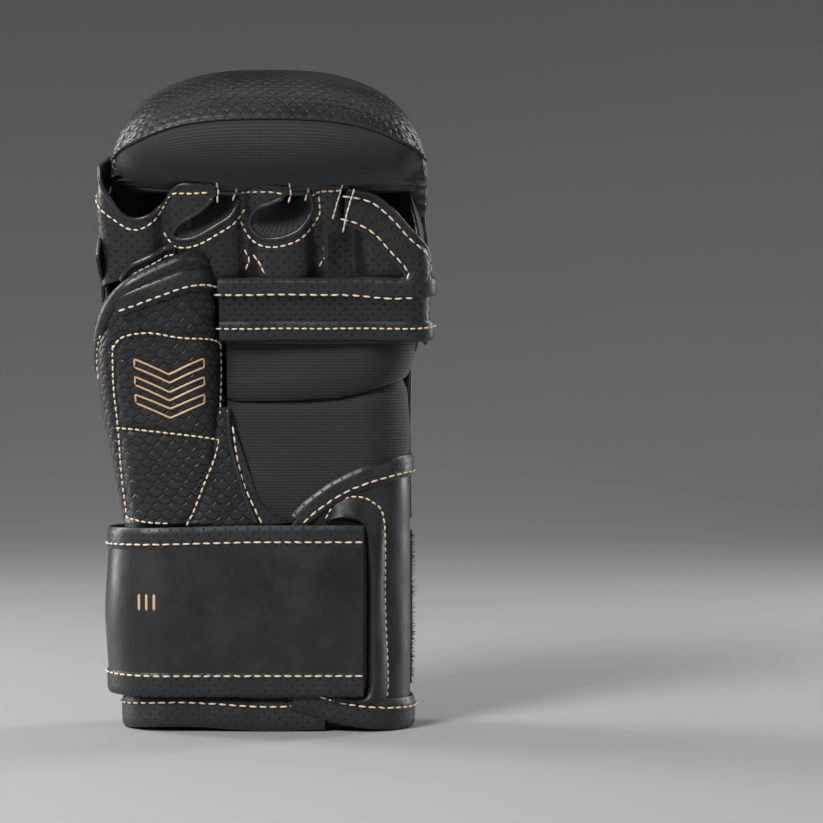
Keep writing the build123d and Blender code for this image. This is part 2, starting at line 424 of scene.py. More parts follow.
def cuff_form(q, z, lift=0.0):
    """The tube of cuff and hand: q runs round it from the palm's middle, z up it."""
    x, y, nx, ny = outline(q, 58.0, 21.0, 20.0)
    swell = 0.8 * np.sin(z / 17.0 + q / 30.0) * bell(z, 115, 45) + 0.25 * np.sin(q / 9.0 + z / 13.0)
    return np.stack([TUBE_MIDDLE + x + nx * (lift + swell * 0.5), y + ny * (lift + swell * 0.5), z + 0 * x],
                    -1)


WALL_TILT = math.radians(22)
WALL_FOOT = (-25.5, 157.0)
WALL_CORNER = 7.0


def wall_form(q, up, lift=0.0):
    """The wall of the finger openings: it leans over the palm, and turns back at its ends."""
    x, y, nx, ny = outline(q, 64.5, 45.0, WALL_CORNER)
    drop = up * math.sin(WALL_TILT)
    return np.stack([
        TUBE_MIDDLE + x + nx * lift,
        WALL_FOOT[0] + 45.0 + y - drop + ny * lift * math.cos(WALL_TILT),
        WALL_FOOT[1] + up * math.cos(WALL_TILT) + ny * lift * math.sin(WALL_TILT),
    ], -1)


THUMB_ROWS = [  # height, outer side, inner side, front, back
    (84, -57.0, -5.0, -22.4, 12.0), (100, -59.5, -10.0, -24.4, 10.0), (118, -62.0, -14.0, -27.4, 7.0),
    (135, -64.0, -15.5, -32.0, 3.0), (150, -65.0, -16.5, -36.6, -1.0), (165, -65.0, -17.2, -41.4, -5.0),
    (177, -63.5, -18.0, -44.6, -9.0), (190, -61.5, -19.5, -45.5, -13.0),
]
THUMB_ROUND = 70.0              # half the way round the thumb


def thumb_form(a, h, lift=0.0):
    """The thumb: a runs round it from the front's middle, h up it; its mouth slopes."""
    left, right, front, back = table(THUMB_ROWS, h)
    half_x, half_y = (right - left) / 2, (back - front) / 2
    radius = 13.5
    length = 2 * (half_x + half_y - 2 * radius) + math.pi * radius
    x, y, nx, ny = outline(a / THUMB_ROUND * length, half_x, half_y, radius)
    rise = np.clip((h - 100) / 80, 0, 1)
    slope = 0.5 * np.clip((h - 110) / 70, 0, 1)
    middle_x, middle_y = (left + right) / 2, (front + back) / 2
    puff = 1.3 * np.cos(np.clip(np.abs(x) / half_x, 0, 1) * math.pi / 2) * (ny < -0.5)
    return np.stack([middle_x + x + nx * lift, middle_y + y + ny * (lift + puff),
                     h + rise * (x * 0.4) - slope * (y + half_y)], -1)


def side_form(sign):
    """The flat gusset beside the fingers: its coordinates are Y and Z."""
    def form(y, z, lift=0.0):
        bow = 1.2 * bell(y, -5, 18) * bell(z, 185, 16)
        tuck = 6.5 * np.clip((z - 190) / 29, 0, 1) ** 1.2 * np.clip((12 - y) / 36, 0, 1)
        tuck = tuck + 1.9 * bell(z, 176, 16) * np.clip(-y / 34, 0, 1)
        return np.stack([sign * (64.6 + bow - tuck + lift) + 0 * y, y, z], -1)
    return form


print("forms are ready")


# %% The knuckle pad's form
PAD_ROWS = [  # outer Y and Z, inner Y and Z, half width, middle
    (-69.0, 238.0, -58.0, 216.5, 57.0, 5.0),
    (-55.5, 254.5, -46.0, 219.5, 61.0, 4.2),
    (-21.0, 265.3, -24.0, 215.5, 62.5, 3.0),
    (20.0, 254.0, -1.0, 204.0, 64.5, 1.0),
    (44.5, 225.0, 12.5, 187.0, 66.0, 0.5),
    (53.0, 192.0, 20.5, 166.0, 64.5, 0.0),
    (48.5, 159.0, 23.5, 147.0, 59.5, 0.0),
    (34.0, 134.0, 23.5, 132.0, 51.0, 0.0),
]
PAD_ARC = 2.6                   # how square the pad's section is


def pad_section(s, phi):
    """A place on the pad without any lift: s along the rows, phi from side to side."""
    row = curve(PAD_ROWS, s)
    across = row[..., 0:2] - row[..., 2:4]
    c, d = np.cos(phi), np.maximum(np.sin(phi), 0)
    x = -row[..., 4] * np.sign(c) * np.abs(c) ** (2 / PAD_ARC)
    h = (d ** (2 / PAD_ARC))[..., None]
    yz = row[..., 2:4] + across * h
    return np.concatenate([(row[..., 5] + x)[..., None], yz], -1)


def lifted(place, a, b, step_a, step_b, lift):
    """A place moved off its form by lift along the normal, which is found by small steps."""
    here = place(a, b)
    da = place(a + step_a, b) - place(a - step_a, b)
    db = place(a, b + step_b) - place(a, b - step_b)
    normal = np.cross(da, db)
    normal /= np.maximum(np.linalg.norm(normal, axis=-1, keepdims=True), 1e-9)
    return here + normal * np.asarray(lift)[..., None]


def pad_form(s, phi, lift=0.0):
    s = np.asarray(s, float)
    return lifted(pad_section, np.clip(s, 0.02, 6.98), np.clip(phi, 0.02, math.pi - 0.02), 0.02, 0.02,
                  -1.0 * (lift + 0 * s))


crest = (np.array([3.0]), np.array([math.pi / 2]))
test = pad_form(*crest, 5.0) - pad_form(*crest)
print("the pad's outward way at the knuckles:", test.round(2))

# %% [markdown]
# ## Making pieces
# A panel starts as Blender's grid, laid flat at its real size. Its corners become places on a
# form, Solidify gives it the leather's thickness, and a small bevel rounds the cut edge. The
# grid's own coordinates stay on it as a UV map, so grain and holes keep their size.


# %% Grids on a form
def fresh():
    """Nothing selected, so that the next operator acts on the new primitive alone."""
    bpy.ops.object.select_all(action="DESELECT")


def finish_piece(obj, material, thickness=0.0, bevel=0.0, angle=50):
    """Applies the modifiers that a panel ends with and gives it its finish."""
    fresh()
    obj.select_set(True)
    bpy.context.view_layer.objects.active = obj
    if thickness:
        wall = obj.modifiers.new("wall", "SOLIDIFY")
        wall.thickness, wall.offset = thickness / 1000, -1.0
        bpy.ops.object.modifier_apply(modifier=wall.name)
    if bevel:
        edge = obj.modifiers.new("edge", "BEVEL")
        edge.width, edge.segments, edge.limit_method = bevel / 1000, 2, "ANGLE"
        edge.angle_limit = math.radians(60)
        bpy.ops.object.modifier_apply(modifier=edge.name)
    obj.data.materials.clear()
    obj.data.materials.append(material)
    bpy.ops.object.shade_smooth_by_angle(angle=math.radians(angle))
    return obj


def set_uv(mesh, uv):
    """One UV place for each vertex, given in millimetres."""
    layer = mesh.uv_layers.get("UVMap") or mesh.uv_layers.new(name="UVMap")
    corners = np.zeros(len(mesh.loops), np.int32)
    mesh.loops.foreach_get("vertex_index", corners)
    layer.data.foreach_set("uv", (np.asarray(uv, np.float32) / 1000)[corners].ravel())


def grid(name, place, cols, rows, uv=None, keep=None):
    """A grid whose u and v, each 0 to 1, become place(u, v); keep(u, v) says which faces stay."""
    fresh()
    bpy.ops.mesh.primitive_grid_add(x_subdivisions=cols, y_subdivisions=rows, size=1)
    obj = bpy.context.object
    obj.name = obj.data.name = name
    mesh = obj.data
    co = np.zeros(len(mesh.vertices) * 3, np.float32)
    mesh.vertices.foreach_get("co", co)
    u, v = co.reshape(-1, 3)[:, 0].astype(float) + 0.5, co.reshape(-1, 3)[:, 1].astype(float) + 0.5
    set_uv(mesh, np.stack(uv(u, v), -1) if uv else np.stack([u * 100, v * 100], -1))
    if keep is not None:
        middle = np.array([p.center[:2] for p in mesh.polygons]) + 0.5
        mesh.vertices.foreach_set("select", np.zeros(len(mesh.vertices), bool))
        mesh.edges.foreach_set("select", np.zeros(len(mesh.edges), bool))
        mesh.polygons.foreach_set("select", ~keep(middle[:, 0], middle[:, 1]))
        bpy.context.tool_settings.mesh_select_mode = (False, False, True)
        bpy.ops.object.mode_set(mode="EDIT")
        bpy.ops.mesh.delete(type="FACE")
        bpy.ops.object.mode_set(mode="OBJECT")
        co = np.zeros(len(mesh.vertices) * 3, np.float32)
        mesh.vertices.foreach_get("co", co)
        u, v = co.reshape(-1, 3)[:, 0].astype(float) + 0.5, co.reshape(-1, 3)[:, 1].astype(float) + 0.5
    mesh.vertices.foreach_set("co", metres(place(u, v)).astype(np.float32).ravel())
    mesh.update()
    return obj


def face_out(obj, ways):
    """Turns an open sheet over if its faces look against ways, one direction for each vertex."""
    mesh = obj.data
    normals = np.zeros(len(mesh.vertices) * 3, np.float32)
    mesh.vertices.foreach_get("normal", normals)
    if (normals.reshape(-1, 3) * ways).sum() < 0:
        mesh.flip_normals()


def panel(name, form, a_of, b_of, size, material, lift=0.0, thickness=1.4, step=1.6, bevel=0.25, keep=None):
    """A leather panel: a_of(u, v) and b_of(u, v) are its places on the form, size its rough extent."""
    cols, rows = (max(4, int(extent / step)) for extent in size)

    def place(u, v, more=0.0):
        a, b = a_of(u, v), b_of(u, v)
        return form(a, b, (lift(a, b) if callable(lift) else lift) + more)

    obj = grid(name, place, cols, rows, lambda u, v: (a_of(u, v), b_of(u, v)), keep)
    co = np.zeros(len(obj.data.vertices) * 3, np.float32)
    obj.data.vertices.foreach_get("co", co)
    # the outward way is found at the grid's places again, half a millimetre further out
    u, v = np.meshgrid(np.linspace(0.1, 0.9, 5), np.linspace(0.1, 0.9, 5))
    here, out = metres(place(u.ravel(), v.ravel())), metres(place(u.ravel(), v.ravel(), 0.5))
    near = ((co.reshape(-1, 1, 3) - here[None]) ** 2).sum(-1).argmin(1)
    face_out(obj, (out - here)[near])
    return finish_piece(obj, material, thickness, bevel)


def close(obj):
    """Merges what meets and turns every face outwards, for a shape that is shut all round."""
    fresh()
    obj.select_set(True)
    bpy.context.view_layer.objects.active = obj
    bpy.ops.object.mode_set(mode="EDIT")
    bpy.ops.mesh.select_all(action="SELECT")
    bpy.ops.mesh.remove_doubles(threshold=0.00001)
    bpy.ops.mesh.normals_make_consistent(inside=False)
    bpy.ops.object.mode_set(mode="OBJECT")
    return obj


print("panels can be made")

# %% [markdown]
# Piping is a thin leather tube along an edge, and a binding is a low domed strip over one. Both
# follow a line of places on a form. A stitch is modelled once: a small capsule whose ends dip
# into the leather. A seam is copies of it, one for each step of the needle.


# %% Lines on a form
def trace(form, points, spacing, lift=0.0, smooth=True):
    """Evenly spaced places along a line on a form, with the form's outward way at each."""
    points = np.asarray(points, float)
    if smooth and len(points) > 2:
        fine = curve(points, np.linspace(0, len(points) - 1, 24 * len(points)))
    else:
        fine = np.concatenate([np.linspace(p, q, 30) for p, q in zip(points[:-1], points[1:])])
    solid = form(fine[:, 0], fine[:, 1], lift)
    gone = np.concatenate([[0], np.cumsum(np.linalg.norm(np.diff(solid, axis=0), axis=1))])
    count = max(2, int(round(gone[-1] / spacing)) + 1)
    at = np.linspace(0, gone[-1], count)
    flat = np.stack([np.interp(at, gone, fine[:, k]) for k in range(2)], -1)
    here = form(flat[:, 0], flat[:, 1], lift)
    out = form(flat[:, 0], flat[:, 1], lift + 0.5) - here
    out /= np.maximum(np.linalg.norm(out, axis=1, keepdims=True), 1e-9)
    return here, out, flat


def frames(line, out):
    """Along, across and outward ways at each place of a line."""
    along = np.gradient(line, axis=0)
    along /= np.maximum(np.linalg.norm(along, axis=1, keepdims=True), 1e-9)
    across = np.cross(out, along)
    across /= np.maximum(np.linalg.norm(across, axis=1, keepdims=True), 1e-9)
    return along, across, np.cross(along, across)


def pipe(name, line, out, radius, material, sides=10, flat=1.0, closed=False):
    """A rounded cord along a line, shut at both ends."""
    line, out = np.asarray(line, float), np.asarray(out, float)
    if closed:
        line, out = np.concatenate([line, line[:1]]), np.concatenate([out, out[:1]])
    along, across, up = frames(line, out)
    if closed:
        across[0] = across[-1] = (across[1] + across[-2]) / 2
        up[0] = up[-1] = (up[1] + up[-2]) / 2
    rows = len(line)

    def place(u, v):
        t = v * (rows - 1)
        i = np.clip(np.round(t).astype(int), 0, rows - 1)
        end = 1.0 if closed else np.where((i == 0) | (i == rows - 1), 0.0, 1.0)
        turn = u * 2 * math.pi
        ring = across[i] * np.cos(turn)[:, None] + up[i] * (np.sin(turn) * flat)[:, None]
        return line[i] + ring * (radius * end * np.ones(len(u)))[:, None]

    length = np.concatenate([[0], np.cumsum(np.linalg.norm(np.diff(line, axis=0), axis=1))])
    obj = grid(name, place, sides, rows - 1, lambda u,
               v: (np.interp(v * (rows - 1), np.arange(rows), length), u * 6.3 * radius))
    return finish_piece(close(obj), material)


def piping(name, form, points, radius, material=None, lift=0.0, spacing=1.2, flat=1.0, closed=False):
    line, out, _ = trace(form, points, spacing, lift)
    return pipe(name, line, out, radius, material or piping_leather, flat=flat, closed=closed)


def binding(name, form, points, width, material, lift=0.5, crown=1.2, spacing=1.5, cols=8):
    """A domed strip of leather along a line, its two long edges tucked down."""
    line, out, _ = trace(form, points, spacing, lift)
    _, across, up = frames(line, out)
    rows = len(line)
    length = np.concatenate([[0], np.cumsum(np.linalg.norm(np.diff(line, axis=0), axis=1))])

    def place(u, v):
        i = np.clip(np.round(v * (rows - 1)).astype(int), 0, rows - 1)
        side = (u - 0.5) * 2
        dome = crown * np.sqrt(np.maximum(1 - side**4, 0)) - 0.3
        return line[i] + across[i] * (side * width / 2)[:, None] + up[i] * dome[:, None]

    obj = grid(name, place, cols, rows - 1, lambda u,
               v: (np.interp(v * (rows - 1), np.arange(rows), length), u * width))
    co = np.zeros(len(obj.data.vertices) * 3, np.float32)
    obj.data.vertices.foreach_get("co", co)
    near = ((co.reshape(-1, 1, 3) - metres(line)[None]) ** 2).sum(-1).argmin(1)
    face_out(obj, up[near])
    return finish_piece(obj, material, 1.2, 0.0)


# %% One stitch, and seams of them
STITCH_LONG, STITCH_PITCH, STITCH_THICK = 3.1, 4.1, 0.4
fresh()
bpy.ops.mesh.primitive_uv_sphere_add(segments=6, ring_count=7, radius=1.0, rotation=(0, math.pi / 2, 0))
bpy.ops.object.transform_apply(location=True, rotation=True, scale=True)
one_stitch = bpy.context.object
STITCH_CO = np.array([v.co for v in one_stitch.data.vertices], float)
STITCH_FACES = sorted(tuple(p.vertices) for p in one_stitch.data.polygons)     # Blender's own order varies
bpy.data.objects.remove(one_stitch)
print("one stitch has", len(STITCH_FACES), "faces")


def stitches(name, line, out, material=None, long=STITCH_LONG, thick=STITCH_THICK, seed=1):
    """A row of stitches: one at each place of the line, lying along it."""
    chance = np.random.default_rng(seed)
    along, across, up = frames(line, out)
    corners, faces, uvs = [], [], []
    for i in range(len(line)):
        turn = chance.normal(0, 0.05)
        way = along[i] * math.cos(turn) + across[i] * math.sin(turn)
        side = np.cross(up[i], way)
        x, y, z = STITCH_CO[:, 0], STITCH_CO[:, 1], STITCH_CO[:, 2]
        reach = long / 2 * (1 + chance.normal(0, 0.05))
        body = np.sign(x) * np.abs(x) ** 0.8
        arch = 0.35 - 0.75 * np.abs(body) ** 3
        place = (line[i] + way * (body * reach)[:, None] + side * (y * thick)[:, None]
                 + up[i] * (z * thick * 0.8 + arch * thick)[:, None])
        faces += [tuple(k + len(corners) * len(x) for k in f) for f in STITCH_FACES]
        corners.append(place)
        uvs.append(np.stack([body * reach + i * STITCH_PITCH, np.arctan2(z, y) * thick], -1))
    mesh = bpy.data.meshes.new(name)
    mesh.from_pydata(metres(np.concatenate(corners)).tolist(), [], faces)
    obj = bpy.data.objects.new(name, mesh)
    scene.collection.objects.link(obj)
    set_uv(mesh, np.concatenate(uvs))
    return finish_piece(obj, material or cream_thread, angle=80)


def seam(name, form, points, lift=0.0, pitch=STITCH_PITCH, smooth=True, **more):
    line, out, _ = trace(form, points, pitch, lift, smooth)
    return stitches(name, line, out, **more)


# %% Where pieces ride
def on(body, pieces, *nodes, slot=None):
    """The pieces move with one body, and the CAD nodes are hidden."""
    for piece in pieces:
        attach(piece, body)
    if nodes:
        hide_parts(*nodes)
    return pieces


def bend(pair, start, end, pieces, *nodes, slot=None):
    """The pieces' transforms are baked where they stand, and the CAD nodes are hidden."""
    for piece in pieces:
        tuple(metres(start))
        tuple(metres(end))
        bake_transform(piece)
    if nodes:
        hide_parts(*nodes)
    return pieces


print("lines, seams and riding are ready")

# %% [markdown]
# ## The cuff
# The cuff is a tube split at the palm: a thumb-side flap, an outer flap that laps over it, and a
# back. Each is a sheet of smooth leather over foam. Perforated bindings cover its cut edges.

# %% Cuff panels
SEAM_Q = 76.5                   # where the palm's leathers meet the back's, round the tube
ROUND = 281.7                   # all the way round the tube
FLAP_TOP = [(-80.0, 110.0), (-60.0, 109.5), (-46.0, 107.0), (-32.0, 101.5), (-20.0, 93.5), (-14.0, 87.5),
            (-8.0, 82.0)]


def flap_top(q):
    return table(FLAP_TOP, q)[0]


def span(low, high):
    """A coordinate that goes evenly from low to high with u."""
    return lambda u, v: low + (high - low) * u


def rise(low, high):
    """A coordinate that goes from low to high with v; either may follow the other coordinate."""
    return lambda u, v: low + (high - low) * v


outer_flap = panel(
    "cuff_outer_flap", cuff_form, span(-SEAM_Q, -9.3),
    lambda u, v: 8 + (flap_top(-SEAM_Q + (SEAM_Q - 9.3) * u) - 9) * v,
    (68, 90), smooth_leather, lift=0.5, thickness=2.4)
thumb_flap = panel("cuff_thumb_flap", cuff_form, span(-9, SEAM_Q), rise(8, 86), (86, 78), smooth_leather,
                   thickness=2.0)
cuff_back = panel("cuff_back_leather", cuff_form, span(SEAM_Q, ROUND - SEAM_Q), rise(8, 90), (129, 82),
                  smooth_leather, thickness=2.0)
print("outer flap reaches", round(float(flap_top(np.array(-70.0))), 1), "mm")

# %% Hems and bindings of the cuff
THUMB_HEM = [(-24, 7.5), (0, 6.8), (24, 8.2), (40, 8.5), (70, 6.8), (110, 6.5), (160, 6.5),
             (ROUND - SEAM_Q, 6.5)]
OUTER_HEM = [(-88, 6.5), (-76, 6.5), (-58, 6.6), (-44, 7.4), (-30, 9.6), (-12, 15.0)]
hem_thumb = binding("cuff_hem_thumb", cuff_form, THUMB_HEM, 13.0, binding_leather, lift=0.6, crown=1.0)
hem_outer = binding("cuff_hem_outer", cuff_form, OUTER_HEM, 12.5, binding_leather, lift=1.9, crown=1.0)
hem_stitches = [
    seam("hem_stitches_thumb", cuff_form, [(q, z + 3.4) for q, z in THUMB_HEM], 1.8),
    seam("hem_stitches_outer", cuff_form, [(q, z + 2.6) for q, z in OUTER_HEM], 3.2),
]
FLAP_EDGE = [(q, z - 3.0) for q, z in FLAP_TOP[:-1]]
flap_binding = binding("flap_top_binding", cuff_form, FLAP_EDGE, 9.0, binding_leather, lift=1.3, crown=1.2)
flap_stitches = seam("flap_stitches", cuff_form, [(q, z - 5.4) for q, z in FLAP_TOP[:-1]], 2.3)
on("hand", [outer_flap, hem_outer, hem_stitches[1], flap_binding, flap_stitches],
   "cuff_flap_outer_side", slot="smooth_leather")
on("hand", [thumb_flap, hem_stitches[0]], "cuff_flap_thumb_side", "cuff_foam", slot="smooth_leather")
on("hand", [hem_thumb], "cuff_hem_thumb_side", slot="perforated_leather")
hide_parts("cuff_hem_outer_side")
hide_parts("flap_top_binding")
on("hand", [cuff_back], "cuff_back", slot="smooth_leather")

# %% [markdown]
# The strap comes out of a slot in the outer flap. The slot has a raised lip, like a bent U, held
# down by a row of short stitches. The lip is a sheet between two lines: the slot's edge, where
# it stands up and turns in, and the stitch line, where it meets the flap.

# %% Slot lip
LIP_INSIDE = [(-24, 84.6), (-34, 84.6), (-40, 81), (-41, 66), (-41, 48), (-41, 30), (-40.4, 17),
              (-36, 13.6), (-26, 13.8)]
LIP_STITCH = [(-25, 86.5), (-29, 92.5), (-37, 94.6), (-44, 91.8), (-48, 84), (-48.4, 52), (-49.4, 16),
              (-43.5, 9.6), (-30, 12)]


def lip_place(u, v, k):
    t = u * (len(LIP_INSIDE) - 1)
    inner, outer = curve(LIP_INSIDE, t), curve(LIP_STITCH, t)
    return (inner * (1 - v)[..., None] + outer * v[..., None])[..., k]


def lip_height(v):
    """Turned in at the slot, high beside it and low at the stitches."""
    return 3.7 * np.sin(np.clip(v * 3.2, 0, 1) * math.pi / 2) * (1 - np.clip((v - 0.25) / 0.75, 0,
                                                                             1) ** 1.3) + 0.25


slot_lip = grid("strap_slot_lip", lambda u,
                v: cuff_form(lip_place(u, v, 0), lip_place(u, v, 1), 0.5 + lip_height(v)),
                90, 14, lambda u, v: (lip_place(u, v, 0), lip_place(u, v, 1)))
face_out(slot_lip, np.array([[0.0, -1.0, 0.0]]))
finish_piece(slot_lip, smooth_leather, 1.0)
lip_stitches = seam("slot_lip_stitches", cuff_form, LIP_STITCH, 0.9, pitch=2.9, long=2.2, thick=0.38)
on("hand", [slot_lip, lip_stitches], "strap_slot_frame", slot="smooth_leather")
print("slot lip:", len(slot_lip.data.polygons), "faces")

# %% [markdown]
# ## The strap
# One strap of smooth leather with a perforated binding along each edge runs from its slot over
# the palm, round the thumb side and across the back. It bends at three places, so it is made in
# three lengths that meet where they are stiff.

# %% Strap
STRAP_LOW, STRAP_HIGH = 14.6, 83.0
STRAP_LENGTHS = {               # from and to round the tube, bodies, where the bend starts and ends
    "front": ((-39.5, 70.4), ("strap_palm", "strap_side"), (-28, -25, 50), (-47, -21, 50)),
    "side": ((70.4, 126.0), ("strap_side", "strap_back"), (-47, 21, 50), (-28, 25, 50)),
    "back": ((126.0, 177.8), ("strap_back", "strap_tip"), (-1, 26, 50), (13, 26, 50)),
}


def strap_form(q, z, lift=0.0):
    """The strap lies outside the cuff and dips a little where it turns round the thumb side."""
    x, y, nx, ny = outline(q, 58.0, 21.0, 20.0)
    dip = 1.6 * np.clip((q - 5) / 60, 0, 1) * np.clip((z - 20) / 60, 0, 1)
    ripple = (0.5 * np.sin(q / 13.0 + z / 17.0) + 1.1) * bell(z, 49, 22) + 2.2 * bell(q, 70, 26)
    return np.stack([TUBE_MIDDLE + x + nx * (lift + ripple), y + ny * (lift + ripple), z - dip], -1)


def straight(q, z):
    """A line at one height from end to end, with enough points to follow the turns."""
    return [(a, z) for a in np.linspace(*q, 12)]


for name, (q, pair, start, end) in STRAP_LENGTHS.items():
    low, high = STRAP_LOW, STRAP_HIGH
    leather_panel = panel(f"strap_{name}_panel", strap_form, span(*q), rise(low + 4, high - 4),
                          (q[1] - q[0], high - low), smooth_leather, lift=4.4, thickness=1.8)
    top = binding(f"strap_{name}_binding_top", strap_form, straight(q, high - 4.4), 9.4, binding_leather,
                  4.4, 0.9)
    foot = binding(f"strap_{name}_binding_foot", strap_form, straight(q, low + 5.0), 10.2, binding_leather,
                   4.4, 0.9)
    rows = [seam(f"strap_{name}_stitches_{k}", strap_form, straight((q[0] + 1.5, q[1] - 1.5), z), 5.25,
                 seed=k)
            for k, z in enumerate((high - 6.4, low + 8.4))]
    nodes = {"front": ["strap_palm_panel", "strap_side_panel"], "side": [],
             "back": ["strap_back_panel", "strap_tip_panel"]}[name]
    bend(pair, start, end, [leather_panel, top, foot, *rows], *nodes, slot="smooth_leather")
    if nodes:
        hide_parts(*[n.replace("panel", "bindings") for n in nodes])
print("strap in", len(STRAP_LENGTHS), "lengths")
end_binding = binding("strap_end_binding", strap_form, [(176.2, z) for z in (16, 30, 50, 70, 81)], 5.0,
                      smooth_leather, 4.7, 0.8)
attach(end_binding, "strap_tip")

# %% [markdown]
# A small mark is printed on the strap. It is three plain bars, in the gold of the thumb's mark.

# %% Bars on the strap
def print_line(name, form, points, lift, width=0.45, smooth=False, closed=False):
    """A thin raised line of print."""
    line, out, _ = trace(form, points, 0.8, lift, smooth)
    return pipe(name, line, out, width, gold_print, sides=6, flat=0.35, closed=closed)


for k, q in enumerate((42.6, 45.0, 47.4)):
    bar = print_line(f"strap_mark_{k}", strap_form, [(q, 49.6), (q, 56.6)], 4.5, 0.55)
    tuple(metres((-28, -25, 50)))
    tuple(metres((-47, -21, 50)))
    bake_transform(bar)

# %% [markdown]
# The back of the cuff carries the loop half of the closure: a patch of soft pile. Short fibres
# stand on the part that the strap leaves bare, and give it a fuzzy edge.

# %% Loop patch
loop_patch = panel("loop_patch_pile", cuff_form, span(-147, -70), rise(17, 80), (77, 63), loop_pile,
                   lift=1.1, thickness=1.0)
chance = np.random.default_rng(7)
FIBRES, FIBRE_LONG = 2600, 1.3
q, z = chance.uniform(-106, -70.5, FIBRES), chance.uniform(17.5, 79.5, FIBRES)
roots, tips = cuff_form(q, z, 1.0), cuff_form(q, z, 1.0 + FIBRE_LONG)
tips = tips + chance.normal(0, 0.6, tips.shape)
sides = chance.normal(0, 1, roots.shape)
sides *= 0.11 / np.linalg.norm(sides, axis=1, keepdims=True)
third = np.cross(sides, (tips - roots) / FIBRE_LONG)
corners = np.stack([roots + sides, roots - sides * 0.5 + third, roots - sides * 0.5 - third, tips],
                   1).reshape(-1, 3)
faces = [(4 * i + a, 4 * i + b, 4 * i + c) for i in range(FIBRES) for a, b,
         c in ((0, 1, 3), (1, 2, 3), (2, 0, 3), (0, 2, 1))]
mesh = bpy.data.meshes.new("loop_patch_fibres")
mesh.from_pydata(metres(corners).tolist(), [], faces)
fibres = bpy.data.objects.new("loop_patch_fibres", mesh)
scene.collection.objects.link(fibres)
finish_piece(close(fibres), loop_pile)
on("hand", [loop_patch, fibres], "loop_patch", slot="loop_fabric")
print("fibres:", FIBRES)

# %% [markdown]
# ## The palm
# The palm is stretch mesh in two pieces. The upper one bellies over the crease between them and
# follows the fingers.

# %% Palm mesh
CREASE = [(-80, 145.0), (-58, 142.5), (-30, 136.0), (10, 134.5), (16, 135.5)]


def crease(q):
    return table(CREASE, q)[0]


lower_mesh = panel(
    "palm_mesh_lower_sheet", cuff_form, span(-SEAM_Q, 15), lambda u,
    v: 84 + (crease(-SEAM_Q + (SEAM_Q + 15) * u) + 1 - 84) * v,
    (92, 53), palm_cloth, thickness=1.0,
    lift=lambda q, z: 0.6 * np.sin(z / 7.0 + q / 25.0) - 4.6 * np.clip((z - crease(q) + 9) / 10, 0, 1) ** 2)
upper_mesh = panel(
    "palm_mesh_upper_sheet", cuff_form, span(-SEAM_Q, 15),
    lambda u, v: crease(-SEAM_Q + (SEAM_Q + 15) * u) - 1.5 + (162 - crease(-SEAM_Q + (SEAM_Q + 15) * u)) * v,
    (92, 27), palm_cloth, thickness=1.0,
    lift=lambda q,
    z: 3.6 * np.sqrt(np.clip((z - crease(q) + 1.6) / 8, 0, 1)) - 1.2 + 0.05 * np.maximum(z - 145, 0)
    + 0.5 * np.sin(q / 13.0 + z / 9.0))
on("hand", [lower_mesh], "palm_mesh_lower", slot="mesh_fabric")
bend(("hand", "fingers"), (0, -21, 141), (0, -22, 157), [upper_mesh], "palm_mesh_upper", slot="mesh_fabric")

# %% Edge of the palm beside the thumb
NOTCH = [(14.6, 130.5), (14.2, 121), (13.0, 113), (7.8, 95), (3.8, 85.2), (3.0, 83)]
MESH_EDGE = [(13.8, 130.5), (11.8, 122), (7.4, 109), (2.2, 94), (-5.6, 87), (-9.6, 84)]
THUMB_SIDE = [(24, 131), (24, 121), (26, 113), (30, 95), (32, 85.2), (32, 83)]


def between(line_a, line_b):
    """Two functions of u and v for a sheet between two lines."""
    def part(k):
        def at(u, v):
            t = u * (len(line_a) - 1)
            return (curve(line_a, t) * (1 - v)[..., None] + curve(line_b, t) * v[..., None])[..., k]
        return at
    return part(0), part(1)


notch_strip = panel("palm_notch_strip", cuff_form, *between(NOTCH, MESH_EDGE), (50, 9), perforated_leather,
                    lift=1.5)
heel = panel("palm_heel_leather", cuff_form, *between(NOTCH, THUMB_SIDE), (50, 20), scale_leather,
             lift=lambda q, z: 1.3 + 0.8 * bell(q, 18, 6) + scale_lift(q, z), step=0.75, bevel=0)
notch_piping = piping("palm_notch_piping", cuff_form, NOTCH, 0.9, lift=2.5)
notch_stitches = seam("palm_notch_stitches", cuff_form,
                      [(12.4, 121.3), (10.6, 109), (7.6, 98.2), (1.6, 85.2)], 1.9, pitch=3.7)
on("hand", [notch_strip, heel, notch_piping, notch_stitches], "palm_notch_binding", slot="perforated_leather")

# %% [markdown]
# ## The back of the hand
# Scaled leather over foam, swollen a little in its middle. The scales are lifted out of the mesh
# by the same formula that shades them. Piping closes both of its side seams.

# %% Back of the hand
def back_swell(q, z):
    across_back = (q - SEAM_Q) / (ROUND - 2 * SEAM_Q)
    return 3.0 * np.sin(np.clip(across_back, 0, 1) * math.pi) ** 0.6 * bell(z, 116, 34) + scale_lift(q, z)


hand_back = panel("hand_back_cover", cuff_form, span(SEAM_Q, ROUND - SEAM_Q), rise(84, 160), (129, 76),
                  scale_leather, lift=back_swell, thickness=1.6, step=0.9)
back_piping = [
    piping("hand_back_piping_thumb", cuff_form, [(SEAM_Q, z) for z in (84, 100, 120, 140, 151)], 1.3,
           lift=0.6),
    piping("hand_back_piping_outer", cuff_form, [(-SEAM_Q, z) for z in (84, 100, 120, 140, 158)], 1.3,
           lift=0.6),
]
on("hand", [hand_back, *back_piping], "hand_back_leather", "hand_back_foam", slot="scale_leather")
print("hand back:", len(hand_back.data.polygons), "faces")

# %% [markdown]
# ## Lines seen from the front
# A seam is easiest to place by where it is seen from the front: so far across, so far up. Most
# forms have two sides at one such place, so the search keeps to the side that looks at the palm.


